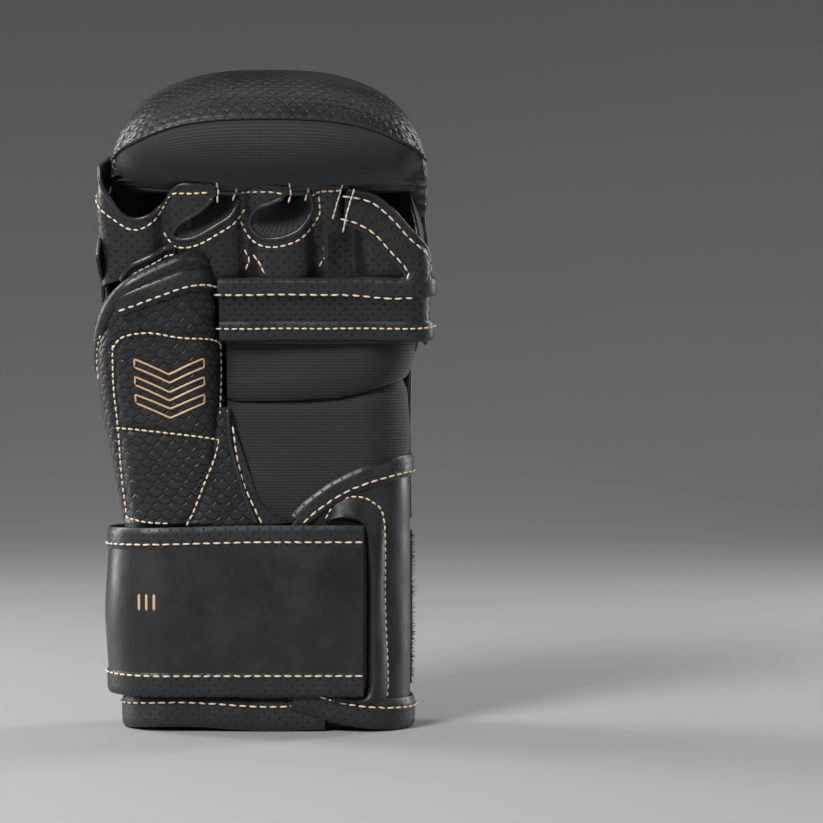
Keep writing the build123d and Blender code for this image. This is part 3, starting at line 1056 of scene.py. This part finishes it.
# %% From the front to a form
def seen(form, a_range, b_range, places):
    """Form coordinates of places given as X and Z, found on a fine mesh of the form."""
    a, b = np.meshgrid(np.arange(*a_range, 0.4), np.arange(*b_range, 0.4))
    solid = form(a.ravel(), b.ravel(), 0.0)
    front = form(a.ravel(), b.ravel(), 0.5)[:, 1] < solid[:, 1] + 0.05
    flat, solid = np.stack([a.ravel(), b.ravel()], -1)[front], solid[front][:, (0, 2)]
    return [tuple(flat[((solid - np.array(p)) ** 2).sum(1).argmin()]) for p in places]


# %% [markdown]
# ## The thumb
# The thumb is a stall of scaled leather with a padded patch on its front. It grows out of the
# hand. The patch is outlined by one line of stitches, which pulls the leather down into a shallow
# groove.

# %% Thumb stall
THUMB_LOW, THUMB_HIGH = 84.0, 181.0
THUMB_BEND = (("hand", "thumb"), (-36, -24, 105), (-36, -24, 132))
PATCH_TOP = [(-57.6, 154.6), (-53.5, 158.5), (-43.6, 160.1), (-27.7, 158.1), (-15.4, 155.6)]
PATCH_LEFT = [(-57.8, 154.2), (-58.2, 138), (-57.1, 122.3), (-56.4, 104), (-54.6, 86.2)]
PATCH_RIGHT = [(-15.3, 154.9), (-16.6, 136), (-17.4, 117.5), (-22.6, 101), (-29.6, 84.2)]
PATCH_MIDDLE = [(-57.1, 122.3), (-38, 120.6), (-17.4, 117.5)]
PATCH_FOOT = [(-54.4, 86.2), (-46, 84.6), (-38.8, 83.6)]
thumb_lines = [seen(thumb_form, (-48, 48), (THUMB_LOW, THUMB_HIGH), line)
               for line in (PATCH_TOP, PATCH_LEFT, PATCH_RIGHT, PATCH_MIDDLE, PATCH_FOOT)]


def groove(lines, width):
    """A lift that dips along stitched lines."""
    fine = np.concatenate([curve(line, np.linspace(0, len(line) - 1, 60)) for line in lines])

    def dip(a, b):
        near = np.full(np.shape(a), 1e9)
        for p in fine:
            near = np.minimum(near, (a - p[0]) ** 2 + (b - p[1]) ** 2)
        return np.exp(-near / width**2)
    return dip


patch_groove = groove(thumb_lines[:4], 2.4)


def thumb_lift(a, h):
    puckers = 0.35 * np.sin(h * 1.25) * bell(np.abs(a), 33, 6) * bell(h, 120, 34)
    creases = -1.3 * bell(h - 0.25 * np.abs(a), 160, 3.0) * (np.abs(a) > 27) - 0.8 * bell(h - 0.2 * a, 167,
                                                                                          2.2)
    return scale_lift(a, h) - 1.1 * patch_groove(a, h) + puckers + creases


thumb_stall = panel("thumb_stall_leather", thumb_form, span(-THUMB_ROUND, THUMB_ROUND),
                    rise(THUMB_LOW, THUMB_HIGH),
                    (152, 104), scale_leather, lift=thumb_lift, thickness=1.6, step=0.75, bevel=0)
patch_stitches = [seam(f"thumb_patch_stitches_{k}", thumb_form, line, 0.15, pitch=2.9, long=2.2, seed=k)
                  for k, line in enumerate(thumb_lines)]
bend(*THUMB_BEND, [thumb_stall, *patch_stitches], "thumb_stall", "thumb_patch", "thumb_patch_foam",
     "thumb_root_leather", "thumb_root_foam", slot="scale_leather")
print("thumb:", len(thumb_stall.data.polygons), "faces")

# %% Mouth of the thumb
mouth_strip = binding("thumb_mouth_strip", thumb_form, [(a, 176.6) for a in np.linspace(-34, 15, 14)], 9.0,
                      perforated_leather, lift=0.7, crown=1.6)
mouth_stitches = seam("thumb_mouth_stitches", thumb_form, [(a, 173.6) for a in np.linspace(-30, 12, 12)],
                      2.3, pitch=3.8)
MOUTH = np.linspace(-THUMB_ROUND, THUMB_ROUND, 40)[:-1]
mouth_roll = piping("thumb_mouth_roll", thumb_form, [(a, 181.5) for a in MOUTH], 3.1, perforated_leather,
                    lift=-1.6, spacing=1.6, closed=True)
FOLD = [(34, 158), (31, 167), (25, 176), (14, 181.5), (2, 183.5), (-12, 184), (-24, 183.5)]
mouth_fold = piping("thumb_mouth_fold", thumb_form, FOLD, 3.3, perforated_leather, lift=-0.9, spacing=1.4)
fold_stitches = seam("thumb_fold_stitches", thumb_form, [(27.5, 152), (29, 158), (27.5, 164), (24, 169)],
                     0.3, pitch=2.9,
                     long=2.2)
bend(*THUMB_BEND, [mouth_strip, mouth_stitches, mouth_roll, mouth_fold, fold_stitches], "thumb_mouth_binding")

# %% [markdown]
# The mark printed on the thumb is three nested chevrons in thin gold outline.

# %% Chevrons on the thumb
for k, low in enumerate((126.5, 133.5, 140.5)):
    outer = [(-49.5, low + 6.0), (-36.0, low), (-22.5, low + 6.0)]
    inner = [(x, z + 3.4) for x, z in reversed(outer)]
    corners = seen(thumb_form, (-35, 35), (THUMB_LOW, THUMB_HIGH), outer + inner + outer[:1])
    chevron = print_line(f"thumb_chevron_{k}", thumb_form, corners, 0.35, 0.36)
    bend(*THUMB_BEND, [chevron])

# %% [markdown]
# ## The knuckle pad
# The pad is the biggest piece: a thick roll of foam over the knuckles, in scaled leather, from
# the lip over the fingertips to the back of the hand. It is one closed loft. Its sides are eased
# into a shorter seam, so they stand in gathers. The scales are lifted in the mesh as before.

# %% Knuckle pad
pad_line = pad_form(np.linspace(0, 7, 200), np.full(200, math.pi / 2))
pad_gone = np.concatenate([[0], np.cumsum(np.linalg.norm(np.diff(pad_line, axis=0), axis=1))])
PAD_OUTER, PAD_CAP = 0.86, 0.025    # share of the loop that is outside; share of the length in each end


def pad_along(s):
    return -np.interp(s, np.linspace(0, 7, 200), pad_gone)


turns = np.linspace(0, math.pi, 1200)
steps = np.linalg.norm(np.diff(pad_section(np.full(1200, 2.4), turns), axis=0), axis=1)
PAD_HALF_ROUND = float(steps.sum())     # over the pad from side to side
turn_at = np.concatenate([[0], np.cumsum(steps)]) / PAD_HALF_ROUND
print("over the pad:", round(PAD_HALF_ROUND), "mm")


def pad_across(phi):
    """Millimetres over the pad from its middle, so that scales keep one width."""
    return (np.interp(phi, turns, turn_at) - 0.5) * PAD_HALF_ROUND


def gathers(s, phi):
    """Folds that run out from the side seams and fade over the pad."""
    edge = np.minimum(phi, math.pi - phi)
    fold = np.abs(np.sin(s * 7.6 + 0.35 * np.sin(s * 5.1) + edge * 0.6)) ** 0.75
    reach = np.exp(-((edge / (0.62 + 0.14 * np.sin(s * 9.0))) ** 2)) * np.clip((s - 0.35) / 0.8, 0, 1)
    return 2.7 * (fold - 0.75) * reach * np.clip((6.6 - s) / 0.8, 0, 1)


def arch(phi):
    """Where the mesh meets the leather: near the lip at its middle and further back at the sides."""
    return 0.3 + 0.65 * np.abs(np.cos(phi)) ** 14


def pad_flat(u, v):
    """Along and across the pad: it starts at its arched front seam and ends at its foot."""
    phi = np.interp(np.clip(u / PAD_OUTER, 0, 1), turn_at, turns)
    front = arch(phi)
    return front + (7 - front) * np.clip((v - PAD_CAP) / (1 - 2 * PAD_CAP), 0, 1), phi


def pad_place(u, v):
    s, phi = pad_flat(u, v)
    relief = scale_lift(pad_across(phi), pad_along(s))
    top = pad_form(s, phi, relief + gathers(s, phi))
    row = curve(PAD_ROWS, s)
    ends = [np.stack([row[:, 5] + way * row[:, 4], row[:, 2], row[:, 3]], -1) for way in (1, -1)]
    t = np.clip((u - PAD_OUTER) / (1 - PAD_OUTER), 0, 1)[:, None]
    under = ends[0] * (1 - t) + ends[1] * t
    place = np.where((u < PAD_OUTER)[:, None], top, under)
    middle = np.stack([row[:, 5], (row[:, 0] + row[:, 2]) / 2, (row[:, 1] + row[:, 3]) / 2], -1)
    k = np.clip(np.minimum(v, 1 - v) / PAD_CAP, 0, 1)
    return middle + (place - middle) * np.sqrt(1 - (1 - k) ** 2)[:, None]


def pad_uv(u, v):
    s, phi = pad_flat(u, v)
    return pad_across(phi), pad_along(s)


pad = finish_piece(close(grid("knuckle_pad_leather", pad_place, 250, 300, pad_uv)), scale_leather, angle=80)
on("fingers", [pad], "knuckle_pad_skin", slot="scale_leather")
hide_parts("knuckle_pad_foam")
print("pad:", len(pad.data.polygons), "faces")

# %% [markdown]
# The front of the pad is closed by a panel of ribbed mesh under an arched seam. The panel rolls
# under at its lower edge, and its ribs follow the arch.

# %% Mesh panel at the tip
TIP_CORNER = 0.16               # the angle round the pad at which the panel starts and ends


def tip_form(u, v, lift=0.0):
    """u goes across and v from the arch down to the rolled lower edge, both 0 to 1."""
    phi = TIP_CORNER + (math.pi - 2 * TIP_CORNER) * u
    top = pad_form(arch(phi), phi, 0.25)
    side = np.cos(phi)
    foot = np.stack([4.0 - 58.0 * np.sign(side) * np.abs(side) ** 0.9, -45.0 + 8.0 * side**2,
                     215.0 + 3.0 * side**2], -1)
    bulge = np.sin(np.clip(v, 0, 1) ** 0.85 * math.pi) ** 0.8
    place = top * (1 - v)[..., None] + foot * v[..., None]
    place[..., 1] -= (8.5 * np.sin(phi) + 1.0) * bulge + lift
    place[..., 2] -= 4.0 * bulge * np.sin(phi)
    return place


tip_panel = grid("tip_mesh_sheet", lambda u, v: tip_form(u, v), 110, 36, lambda u, v: (u * 126, v * 34))
face_out(tip_panel, np.array([[0.0, -1.0, -0.2]]))
finish_piece(tip_panel, tip_cloth, 1.0)
across_phi = np.linspace(TIP_CORNER, math.pi - TIP_CORNER, 30)
ARCH = [(arch(p), p) for p in across_phi]
arch_piping = piping("tip_arch_piping", pad_form, ARCH, 0.75, lift=0.9)
arch_line, arch_out, _ = trace(pad_form, ARCH, 3.3, 1.2)
arch_stitches = stitches("tip_arch_stitches", arch_line, arch_out, black_thread, long=2.2, thick=0.55)
tip_roll = piping("tip_lower_roll", tip_form, [(u, 0.97) for u in np.linspace(0.0, 1.0, 30)], 1.9, lift=-0.6)
on("fingers", [tip_panel, arch_piping, arch_stitches, tip_roll], "tip_mesh_panel", slot="mesh_fabric")

# %% [markdown]
# ## The wall of finger openings
# One perforated sheet stands over the palm, turned back at both sides. Its top edge dips for the
# index finger, and two teardrop openings lead to the middle and ring fingers. Each opening has a
# piped rim and a ribbed sleeve behind it. Loose folds run down between the fingers.

# %% Finger wall
def up_of(z):
    return (np.asarray(z, float) - WALL_FOOT[1]) / math.cos(WALL_TILT)


def across_of(x):
    return TUBE_MIDDLE - np.asarray(x, float)


WALL_TOP = [(-84, 197), (-72, 193.5), (-62, 195), (-52.6, 206), (-44.8, 213.5), (-33, 216.5), (-24, 218),
            (0, 218.3),
            (24, 218.8), (31, 218.5), (34.8, 215.5), (37.2, 210.8), (42, 207.2), (49, 205.3), (55, 207.5),
            (60, 215.5),
            (65, 224), (73, 228), (84, 229)]
WALL_BOTTOM = [(-84, 157), (14, 157), (17, 172), (20, 187), (26, 190.5), (34, 191), (54, 182.5), (70, 178),
               (84, 176)]
MIDDLE_HOLE = [(-15.2, 221), (-16.9, 214), (-23.6, 208.2), (-30.9, 203.6), (-33.8, 198.8), (-31.0, 197.2),
               (-25.2, 198.2),
               (-17.0, 202.4), (-10.5, 206.3), (-7.3, 212.1), (-8.2, 221)]
RING_HOLE = [(13.6, 221), (10.5, 214.2), (4.6, 211.4), (-0.8, 209), (-3.6, 202.6), (-0.4, 198.6),
             (6.3, 197.6),
             (16.0, 200.8), (21.2, 208.0), (19.6, 215.5), (19.2, 221)]
FOLDS = [(-36.5, 3.0), (-5.0, 3.4), (22.8, 3.4), (37.5, 2.4)]


def wall_top(q):
    return up_of(table(WALL_TOP, q)[0])


def wall_bottom(q):
    return up_of(table(WALL_BOTTOM, q)[0])


def wall_lift(q, up):
    """Each finger's part bulges, the folds between them draw in, and the rims flare a little."""
    x = TUBE_MIDDLE - q
    folds = sum(depth * bell(x, at - (up - 30) * 0.05, 3.2) for at, depth in FOLDS)
    bulge = 2.6 * bell(x, -46, 13) + 2.4 * bell(x, -22, 10) + 2.4 * bell(x, 9, 11)
    hollow = 5.0 * bell(x, 32, 8) * bell(up, 34, 12)
    fade = np.clip(up / 12, 0, 1)
    tuck = 5.5 * np.clip((np.abs(q) - 60) / 12, 0, 1) * np.clip((up - 54) / 18, 0, 1)
    return (bulge - folds - hollow) * fade + 1.4 * np.clip((up - 40) / 22, 0, 1) ** 2 - tuck


def inside(points, x, y):
    """Whether places are inside a closed line."""
    ring = curve(points, np.linspace(0, len(points) - 1, 12 * len(points)))
    odd = np.zeros(np.shape(x), bool)
    for (x1, y1), (x2, y2) in zip(ring, np.roll(ring, -1, 0)):
        if y1 != y2:
            odd ^= ((y1 > y) != (y2 > y)) & (x < (x2 - x1) * (y - y1) / (y2 - y1) + x1)
    return odd


holes = [[(across_of(x), up_of(z)) for x, z in hole] for hole in (MIDDLE_HOLE, RING_HOLE)]


WALL_HALF = 84                  # from the wall's middle round to its end


def wall_q(u):
    return -WALL_HALF + 2 * WALL_HALF * u


def wall_up(u, v):
    q = wall_q(u)
    return wall_bottom(q) + (wall_top(q) - wall_bottom(q)) * v


finger_wall = panel(
    "finger_wall", wall_form, span(-WALL_HALF, WALL_HALF), wall_up, (168, 66), perforated_leather,
    lift=wall_lift, thickness=1.3, step=0.75, bevel=0,
    keep=lambda u, v: ~(inside(holes[0], wall_q(u), wall_up(u, v))
                        | inside(holes[1], wall_q(u), wall_up(u, v))))
print("finger wall:", len(finger_wall.data.polygons), "faces")


# %% Rims, sleeves and their stitches
def on_wall(q, up, lift=0.0):
    """The wall as it lies, with its bulges and folds."""
    return wall_form(q, up, wall_lift(q, up) + lift)


def offset(points, by):
    """A line beside another, by millimetres to its left."""
    fine = curve(points, np.linspace(0, len(points) - 1, 10 * len(points)))
    way = np.gradient(fine, axis=0)
    way /= np.linalg.norm(way, axis=1, keepdims=True)
    return fine + np.stack([-way[:, 1], way[:, 0]], -1) * by


def sleeve(name, hole, depth, aim):
    """A ribbed tube that leads inwards from a hole and narrows towards aim."""
    count = 90
    ring = curve(hole, np.linspace(0, len(hole) - 1, count))

    def place(u, v):
        i = np.clip(np.round(u * (count - 1)).astype(int), 0, count - 1)
        draw = 0.62 * v**0.8
        flat = ring[i] * (1 - draw)[:, None] + np.array(aim) * draw[:, None]
        return on_wall(flat[:, 0], flat[:, 1], -0.4 - depth * v)

    obj = grid(name, place, count - 1, 14, lambda u, v: (u * 70, v * 16))
    return finish_piece(obj, finger_lining, 0.6)


wall_pieces = []
RIM_AIMS = [(across_of(-13), up_of(216)), (across_of(14), up_of(214))]
for name, hole, aim in zip(("middle", "ring"), holes, RIM_AIMS):
    rim = hole[1:-1]
    wall_pieces.append(piping(f"{name}_finger_rim", on_wall, rim, 1.0, lift=-0.3, spacing=0.9))
    wall_pieces.append(sleeve(f"{name}_finger_sleeve", hole, 13.0, aim))
    below = offset(hole, 3.1)[44:-12]
    wall_pieces.append(seam(f"{name}_finger_stitches", on_wall, below[::6], 0.15, pitch=3.0, long=2.3))
print("finger rims:", len(wall_pieces), "pieces")

# %% [markdown]
# The top edge of the wall is stitched in short runs between the openings, and two long tacks hold
# the ring finger's part against the strip beside the little finger. Beside the thumb, a small
# perforated web with a piped fold lies on the wall.

# %% Top edge of the wall
EDGE_RUNS = {
    "index": [(-60.5, 209.2), (-55, 204), (-48.6, 201.4), (-41.5, 204.2), (-37, 209.5), (-33.5, 215),
              (-27, 215.6), (-20.6, 216)],
    "middle": [(-6.2, 214.6), (-1.5, 215.8), (5, 216.2), (8.6, 215.8)],
    "ring": [(21.4, 213.5), (25, 215.6), (31.5, 216)],
}
for name, run in EDGE_RUNS.items():
    line = [(across_of(x), up_of(z)) for x, z in run]
    if name == "index":
        line = [(q, up_of(z)) for q, z in ((80, 219.5), (72, 217), (64, 210.5))] + line[1:]
    wall_pieces.append(seam(f"{name}_edge_stitches", on_wall, line, 0.15, pitch=3.0, long=2.3))
edge = [(q, float(wall_top(np.array(q)))) for q in np.linspace(-83.5, 83.5, 90)]
for name, low, high in (("index", 17, 83.5), ("middle", -9.5, 6.5), ("ring", -40, -19.8)):
    part = [p for p in edge if low <= p[0] <= high]
    wall_pieces.append(piping(f"{name}_edge_piping", on_wall, part, 1.0, lift=-0.5))
TACKS = [[(33.0, 218.0), (31.0, 211.5), (29.4, 206)], [(37.4, 216.6), (35.0, 209.0), (33.4, 202)],
         [(-15.6, 219.0), (-15.2, 216.0), (-15.6, 213.4)], [(-8.6, 219.0), (-8.4, 216.0), (-9.4, 213.4)],
         [(12.6, 219.0), (13.0, 216.0), (12.4, 213.4)], [(19.4, 219.0), (19.7, 216.0), (18.8, 213.4)]]
for k, tack in enumerate(TACKS):
    line = [(across_of(x), up_of(z)) for x, z in tack]
    wall_pieces.append(seam(f"finger_tack_{k}", on_wall, line, 5.6 if k == 1 else 0.6, pitch=2.8, long=2.9,
                            thick=0.36, seed=k))
WEB_TOP = [(-33.0, 194.5), (-42.5, 191.0), (-51.0, 187.0), (-54.6, 181.0)]
WEB_LOW = [(-33.0, 187.5), (-40.5, 184.0), (-48.0, 180.5), (-53.0, 177.5)]
web_palm = panel("thumb_web_palm_leather", on_wall, *between([(across_of(x), up_of(z)) for x, z in WEB_LOW],
                                                            [(across_of(x), up_of(z)) for x, z in WEB_TOP]),
                 (26, 14), perforated_leather, lift=1.5, thickness=1.2, step=0.75)
web_line = [(across_of(x), up_of(z)) for x, z in WEB_TOP]
wall_pieces.append(web_palm)
wall_pieces.append(piping("thumb_web_palm_fold", on_wall, web_line, 1.5, lift=0.9))
web_line = [(across_of(x), up_of(z)) for x,
            z in ((-34.5, 191.6), (-42.5, 188.4), (-49.4, 184.8), (-51.6, 180.6))]
wall_pieces.append(seam("thumb_web_palm_stitches", on_wall, web_line, 2.4, pitch=3.0, long=2.3))
LOOSE = [[(-5.4, 191), (-4.2, 188), (-5.2, 185.4)], [(-1.6, 190), (0.4, 187.6), (1.4, 185.4)],
         [(25.4, 192), (25.6, 189), (24.0, 186)]]
for k, thread_line in enumerate(LOOSE):
    line = [(across_of(x), up_of(z)) for x, z in thread_line]
    wall_pieces.append(seam(f"finger_root_stitches_{k}", on_wall, line, 0.2, pitch=3.0, long=2.8,
                            thick=0.36, seed=k))
on("fingers", [finger_wall, *wall_pieces], "index_finger_loop", slot="perforated_leather")
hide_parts("middle_finger_loop", "ring_finger_loop", "little_finger_loop")
print("pieces on the wall:", len(wall_pieces))

# %% [markdown]
# A perforated strip runs from the tacks down beside the little finger to the end of the palm
# band. It stands proud of the wall, stitched along both edges, and its foot is folded in.

# %% Strip beside the little finger
STRIP_OUTER = [(34.5, 216.2), (40, 215.6), (46, 213.8), (54, 207.2), (60.5, 199.5), (66.5, 191), (67, 182)]
STRIP_INNER = [(33.2, 203.6), (38.5, 202.0), (45.6, 197.6), (51, 191.5), (55.8, 186.6), (57.6, 183.4),
               (53.5, 180.4)]


def strip_form(u, v, lift=0.0):
    """u goes along the strip and v from its inner edge to its outer one."""
    t = np.clip(u, 0, 1) * (len(STRIP_OUTER) - 1)
    flat = curve(STRIP_INNER, t) * (1 - v)[..., None] + curve(STRIP_OUTER, t) * v[..., None]
    q = across_of(flat[..., 0])
    rise_up = 1.6 + 2.2 * np.sin(np.clip(v, 0, 1) * math.pi) + 1.2 * u
    return wall_form(q, up_of(flat[..., 1]), rise_up + lift)


strip = grid("little_finger_strip", lambda u, v: strip_form(u, v), 70, 24, lambda u, v: (u * 50, v * 15))
face_out(strip, np.array([[0.0, -1.0, -0.3]]))
finish_piece(strip, perforated_leather, 1.4)
strip_pieces = [strip]
for name, v in (("inner", 0.14), ("outer", 0.84)):
    line = [(u, v) for u in np.linspace(0.02, 0.97, 20)]
    strip_pieces.append(seam(f"strip_{name}_stitches", strip_form, line, 0.15))
for name, v in (("inner", 0.0), ("outer", 1.0)):
    line = [(u, v) for u in np.linspace(0.0, 1.0, 20)]
    strip_pieces.append(piping(f"strip_{name}_edge", strip_form, line, 0.9, lift=-0.4))
on("fingers", strip_pieces)

# %% [markdown]
# ## Palm bands
# Two bands cross the foot of the wall: a padded roll on top, a perforated strip under it and a
# flat binding at the bottom. They turn round the outer side of the hand.

# %% Bands
BAND_END = -74


def flat_wall(q, up, lift=0.0):
    ripple = 0.5 * np.sin(q / 8.0) * np.cos(q / 13.0)
    return wall_form(q, up, lift + ripple)


BAND_RUN = list(np.linspace(17.5, BAND_END, 18))
band_strip = panel("palm_band_strip", flat_wall, span(BAND_END, 17.5), rise(8, 20), (97, 12),
                   perforated_leather,
                   lift=2.2, thickness=1.4)
band_foot = binding("palm_band_foot", flat_wall, [(q, 4.9) for q in BAND_RUN], 8.8, binding_leather, 2.6, 1.5)
band_roll = binding("palm_band_roll", flat_wall, [(q, 23.6) for q in BAND_RUN], 8.6, binding_leather, 2.6,
                    2.6, cols=12)
band_rows = [seam("palm_band_stitches_low", flat_wall, [(q, 7.0) for q in BAND_RUN[:-1]], 4.25, pitch=3.1,
                  long=2.3),
             seam("palm_band_stitches_high", flat_wall,
                  [(q, 21.6 - 1.6 * bell(q, -52, 14)) for q in BAND_RUN[:-3]], 4.9)]
on("fingers", [band_strip, band_foot, band_rows[0]], "palm_band_lower", slot="perforated_leather")
on("fingers", [band_roll, band_rows[1]], "palm_band_upper", slot="perforated_leather")
print("bands are", round(float(np.ptp(BAND_RUN))), "mm long")

# %% [markdown]
# ## Side gussets
# A flat perforated gusset closes each side between the pad, the wall and the hand. On the thumb
# side, three narrow strips join it to the thumb's root. Behind each gusset, a lining closes the
# space between the pad and the hand.

# %% Gussets
GUSSET_TOP = [(-29, 226), (-22, 222), (-8, 211.5), (7, 198), (15, 184), (20, 166)]
GUSSET_FOOT = [(-42, 190), (-36, 183), (-26, 178), (-14, 169.5), (-7, 162), (-2.4, 157.5)]


for name, sign in (("index", -1), ("little", 1)):
    form = side_form(sign)
    gusset = panel(f"side_gusset_{name}_leather", form, *between(GUSSET_FOOT, GUSSET_TOP), (62, 30),
                   perforated_leather, lift=0.6, thickness=1.5)
    up = 0 if sign < 0 else 3.5
    foot = [(-3.5, 155.5 + up), (7, 160 + up), (19, 166.5 + up)]
    edges = [piping(f"side_gusset_{name}_piping", form, GUSSET_TOP, 1.3, lift=1.0),
             binding(f"side_gusset_{name}_foot", form, foot, 7.5, binding_leather, 1.2),
             seam(f"side_gusset_{name}_stitches", form, [(y, z + 2.4) for y, z in foot], 2.1)]
    on("fingers", [gusset, *edges], f"side_gusset_{name}", slot="perforated_leather")
for name, sign in (("index", -1), ("little", 1)):
    lining = panel(f"pad_side_lining_{name}", side_form(sign), span(0, 24), rise(134, 170), (24, 36),
                   soft_lining,
                   lift=lambda y, z: -4.5 - 0.1 * np.maximum(150 - z, 0) - 0.09 * y, thickness=1.2, step=2.0)
    bend(("hand", "fingers"), (0, 10, 136), (0, 10, 162), [lining])
WEB = [  # top line, foot line, finish, swell; all in Y and Z
    ("front", [(-29, 181), (-23, 177), (-17, 172)], [(-29, 158), (-24, 154), (-19, 151)],
     perforated_leather, 0.6),
    ("middle", [(-17.5, 172), (-9, 165), (-2.5, 158)], [(-19, 151), (-11, 145), (-3, 140)], scale_leather,
     2.4),
    ("back", [(-3, 159), (2, 161), (8, 163)], [(-3.4, 140), (1, 137), (8, 134)], perforated_leather, 0.8),
]
for name, top_line, foot_line, leather_kind, swell in WEB:
    form = side_form(-1)
    at_y, at_z = between(foot_line, top_line)

    def web_form(u, v, lift=0.0):
        along = np.sin(np.clip(u, 0, 1) * math.pi) ** 0.7
        round_out = swell * along * np.sin(np.clip(v, 0.02, 0.98) * math.pi) ** 0.4
        return form(at_y(u, v), at_z(u, v), round_out - 1.6 + lift)

    strip = panel(f"thumb_web_{name}", web_form, span(0, 1), rise(0, 1), (14, 22), leather_kind,
                  thickness=1.4, step=0.9)
    set_uv(strip.data, np.array([(v.co.y * 1000, v.co.z * 1000) for v in strip.data.vertices]))
    tacked = [strip]
    if name != "middle":
        tacked.append(seam(f"thumb_web_stitches_{name}", web_form,
                           [(0.84 if name == "front" else 0.16, v) for v in (0.08, 0.5, 0.92)],
                           0.2, pitch=3.0, long=2.3))
    bend(("hand", "fingers"), (-60, -10, 140), (-60, -10, 166), tacked)

# %% [markdown]
# ## What is left of the frame
# Some parts of the CAD model already have their right shape: linings, dividers and the hook
# tape. They only need their finishes.

# %% Finishes for the frame's parts
for node, material in {
    "cuff_lining": soft_lining, "hand_back_lining": soft_lining, "thumb_lining": soft_lining,
    "finger_divider_1": finger_lining, "finger_divider_2": finger_lining, "finger_divider_3": finger_lining,
    "hook_patch": hook_tape,
}.items():
    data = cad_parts[node].data
    data.materials.clear()
    data.materials.append(material)
print("materials:", len(bpy.data.materials))

# %% [markdown]
# ## Light
# A soft light stands on the left above the glove, a weaker one fills from the right, and a strip on each
# side draws a bright edge on the black leather. The floor is pale and plain, and rises all round
# like a shallow bowl, so that it fades into a grey wall from every side. One more light washes the
# wall behind and points away from the glove.

# %% Floor and lights
fresh()
bpy.ops.mesh.primitive_grid_add(x_subdivisions=70, y_subdivisions=70, size=2)
stage = bpy.context.object
stage.name = stage.data.name = "studio_floor"
STAGE_REACH = 6.0               # metres from the middle to an edge
STAGE_FLAT = 1.15               # the floor is flat as far as this
for corner in stage.data.vertices:
    x, y = corner.co.x * STAGE_REACH, corner.co.y * STAGE_REACH
    away = max(math.hypot(x, y) - STAGE_FLAT, 0.0)
    corner.co = (x, y, 0.22 * away**2)
floor_paint = plain("studio_paint", (0.38, 0.38, 0.385), (0.395, 0.395, 0.4), 2.0, 0.6, 0.0)
stage.data.materials.append(floor_paint)
bpy.ops.object.shade_smooth()


def softbox(name, place, aim, size, watts, colour=(1, 1, 1)):
    light = bpy.data.lights.new(name, "AREA")
    light.shape, light.size, light.size_y = "RECTANGLE", size[0], size[1]
    light.energy, light.color = watts, colour
    obj = bpy.data.objects.new(name, light)
    scene.collection.objects.link(obj)
    way = np.array(place) - np.array(aim)
    flat = math.hypot(way[0], way[1])
    obj.location = place
    obj.rotation_euler = (math.atan2(flat, way[2]), 0, math.atan2(way[0], -way[1]))
    return obj


softbox("key", (-0.6, -0.85, 0.85), (0.0, 0.0, 0.12), (0.4, 0.5), 18)
softbox("fill", (1.1, -1.0, 0.5), (0.0, 0.0, 0.14), (1.0, 1.0), 3)
softbox("left_edge", (-0.8, 0.3, 0.45), (0.0, 0.0, 0.15), (0.25, 0.9), 8)
softbox("right_edge", (0.8, 0.5, 0.45), (0.0, 0.0, 0.15), (0.25, 0.9), 6)
softbox("top", (0.0, 0.25, 1.2), (0.0, 0.0, 0.2), (0.9, 0.5), 1.5)
softbox("backdrop_wash", (0.0, 0.6, 1.7), (0.0, 3.4, 0.5), (2.5, 0.5), 10)
world = bpy.data.worlds.new("studio")
world.use_nodes = True
world.node_tree.nodes["Background"].inputs["Color"].default_value = (0.5, 0.5, 0.52, 1)
world.node_tree.nodes["Background"].inputs["Strength"].default_value = 0.05
scene.world = world
scene.view_settings.view_transform = "Standard"
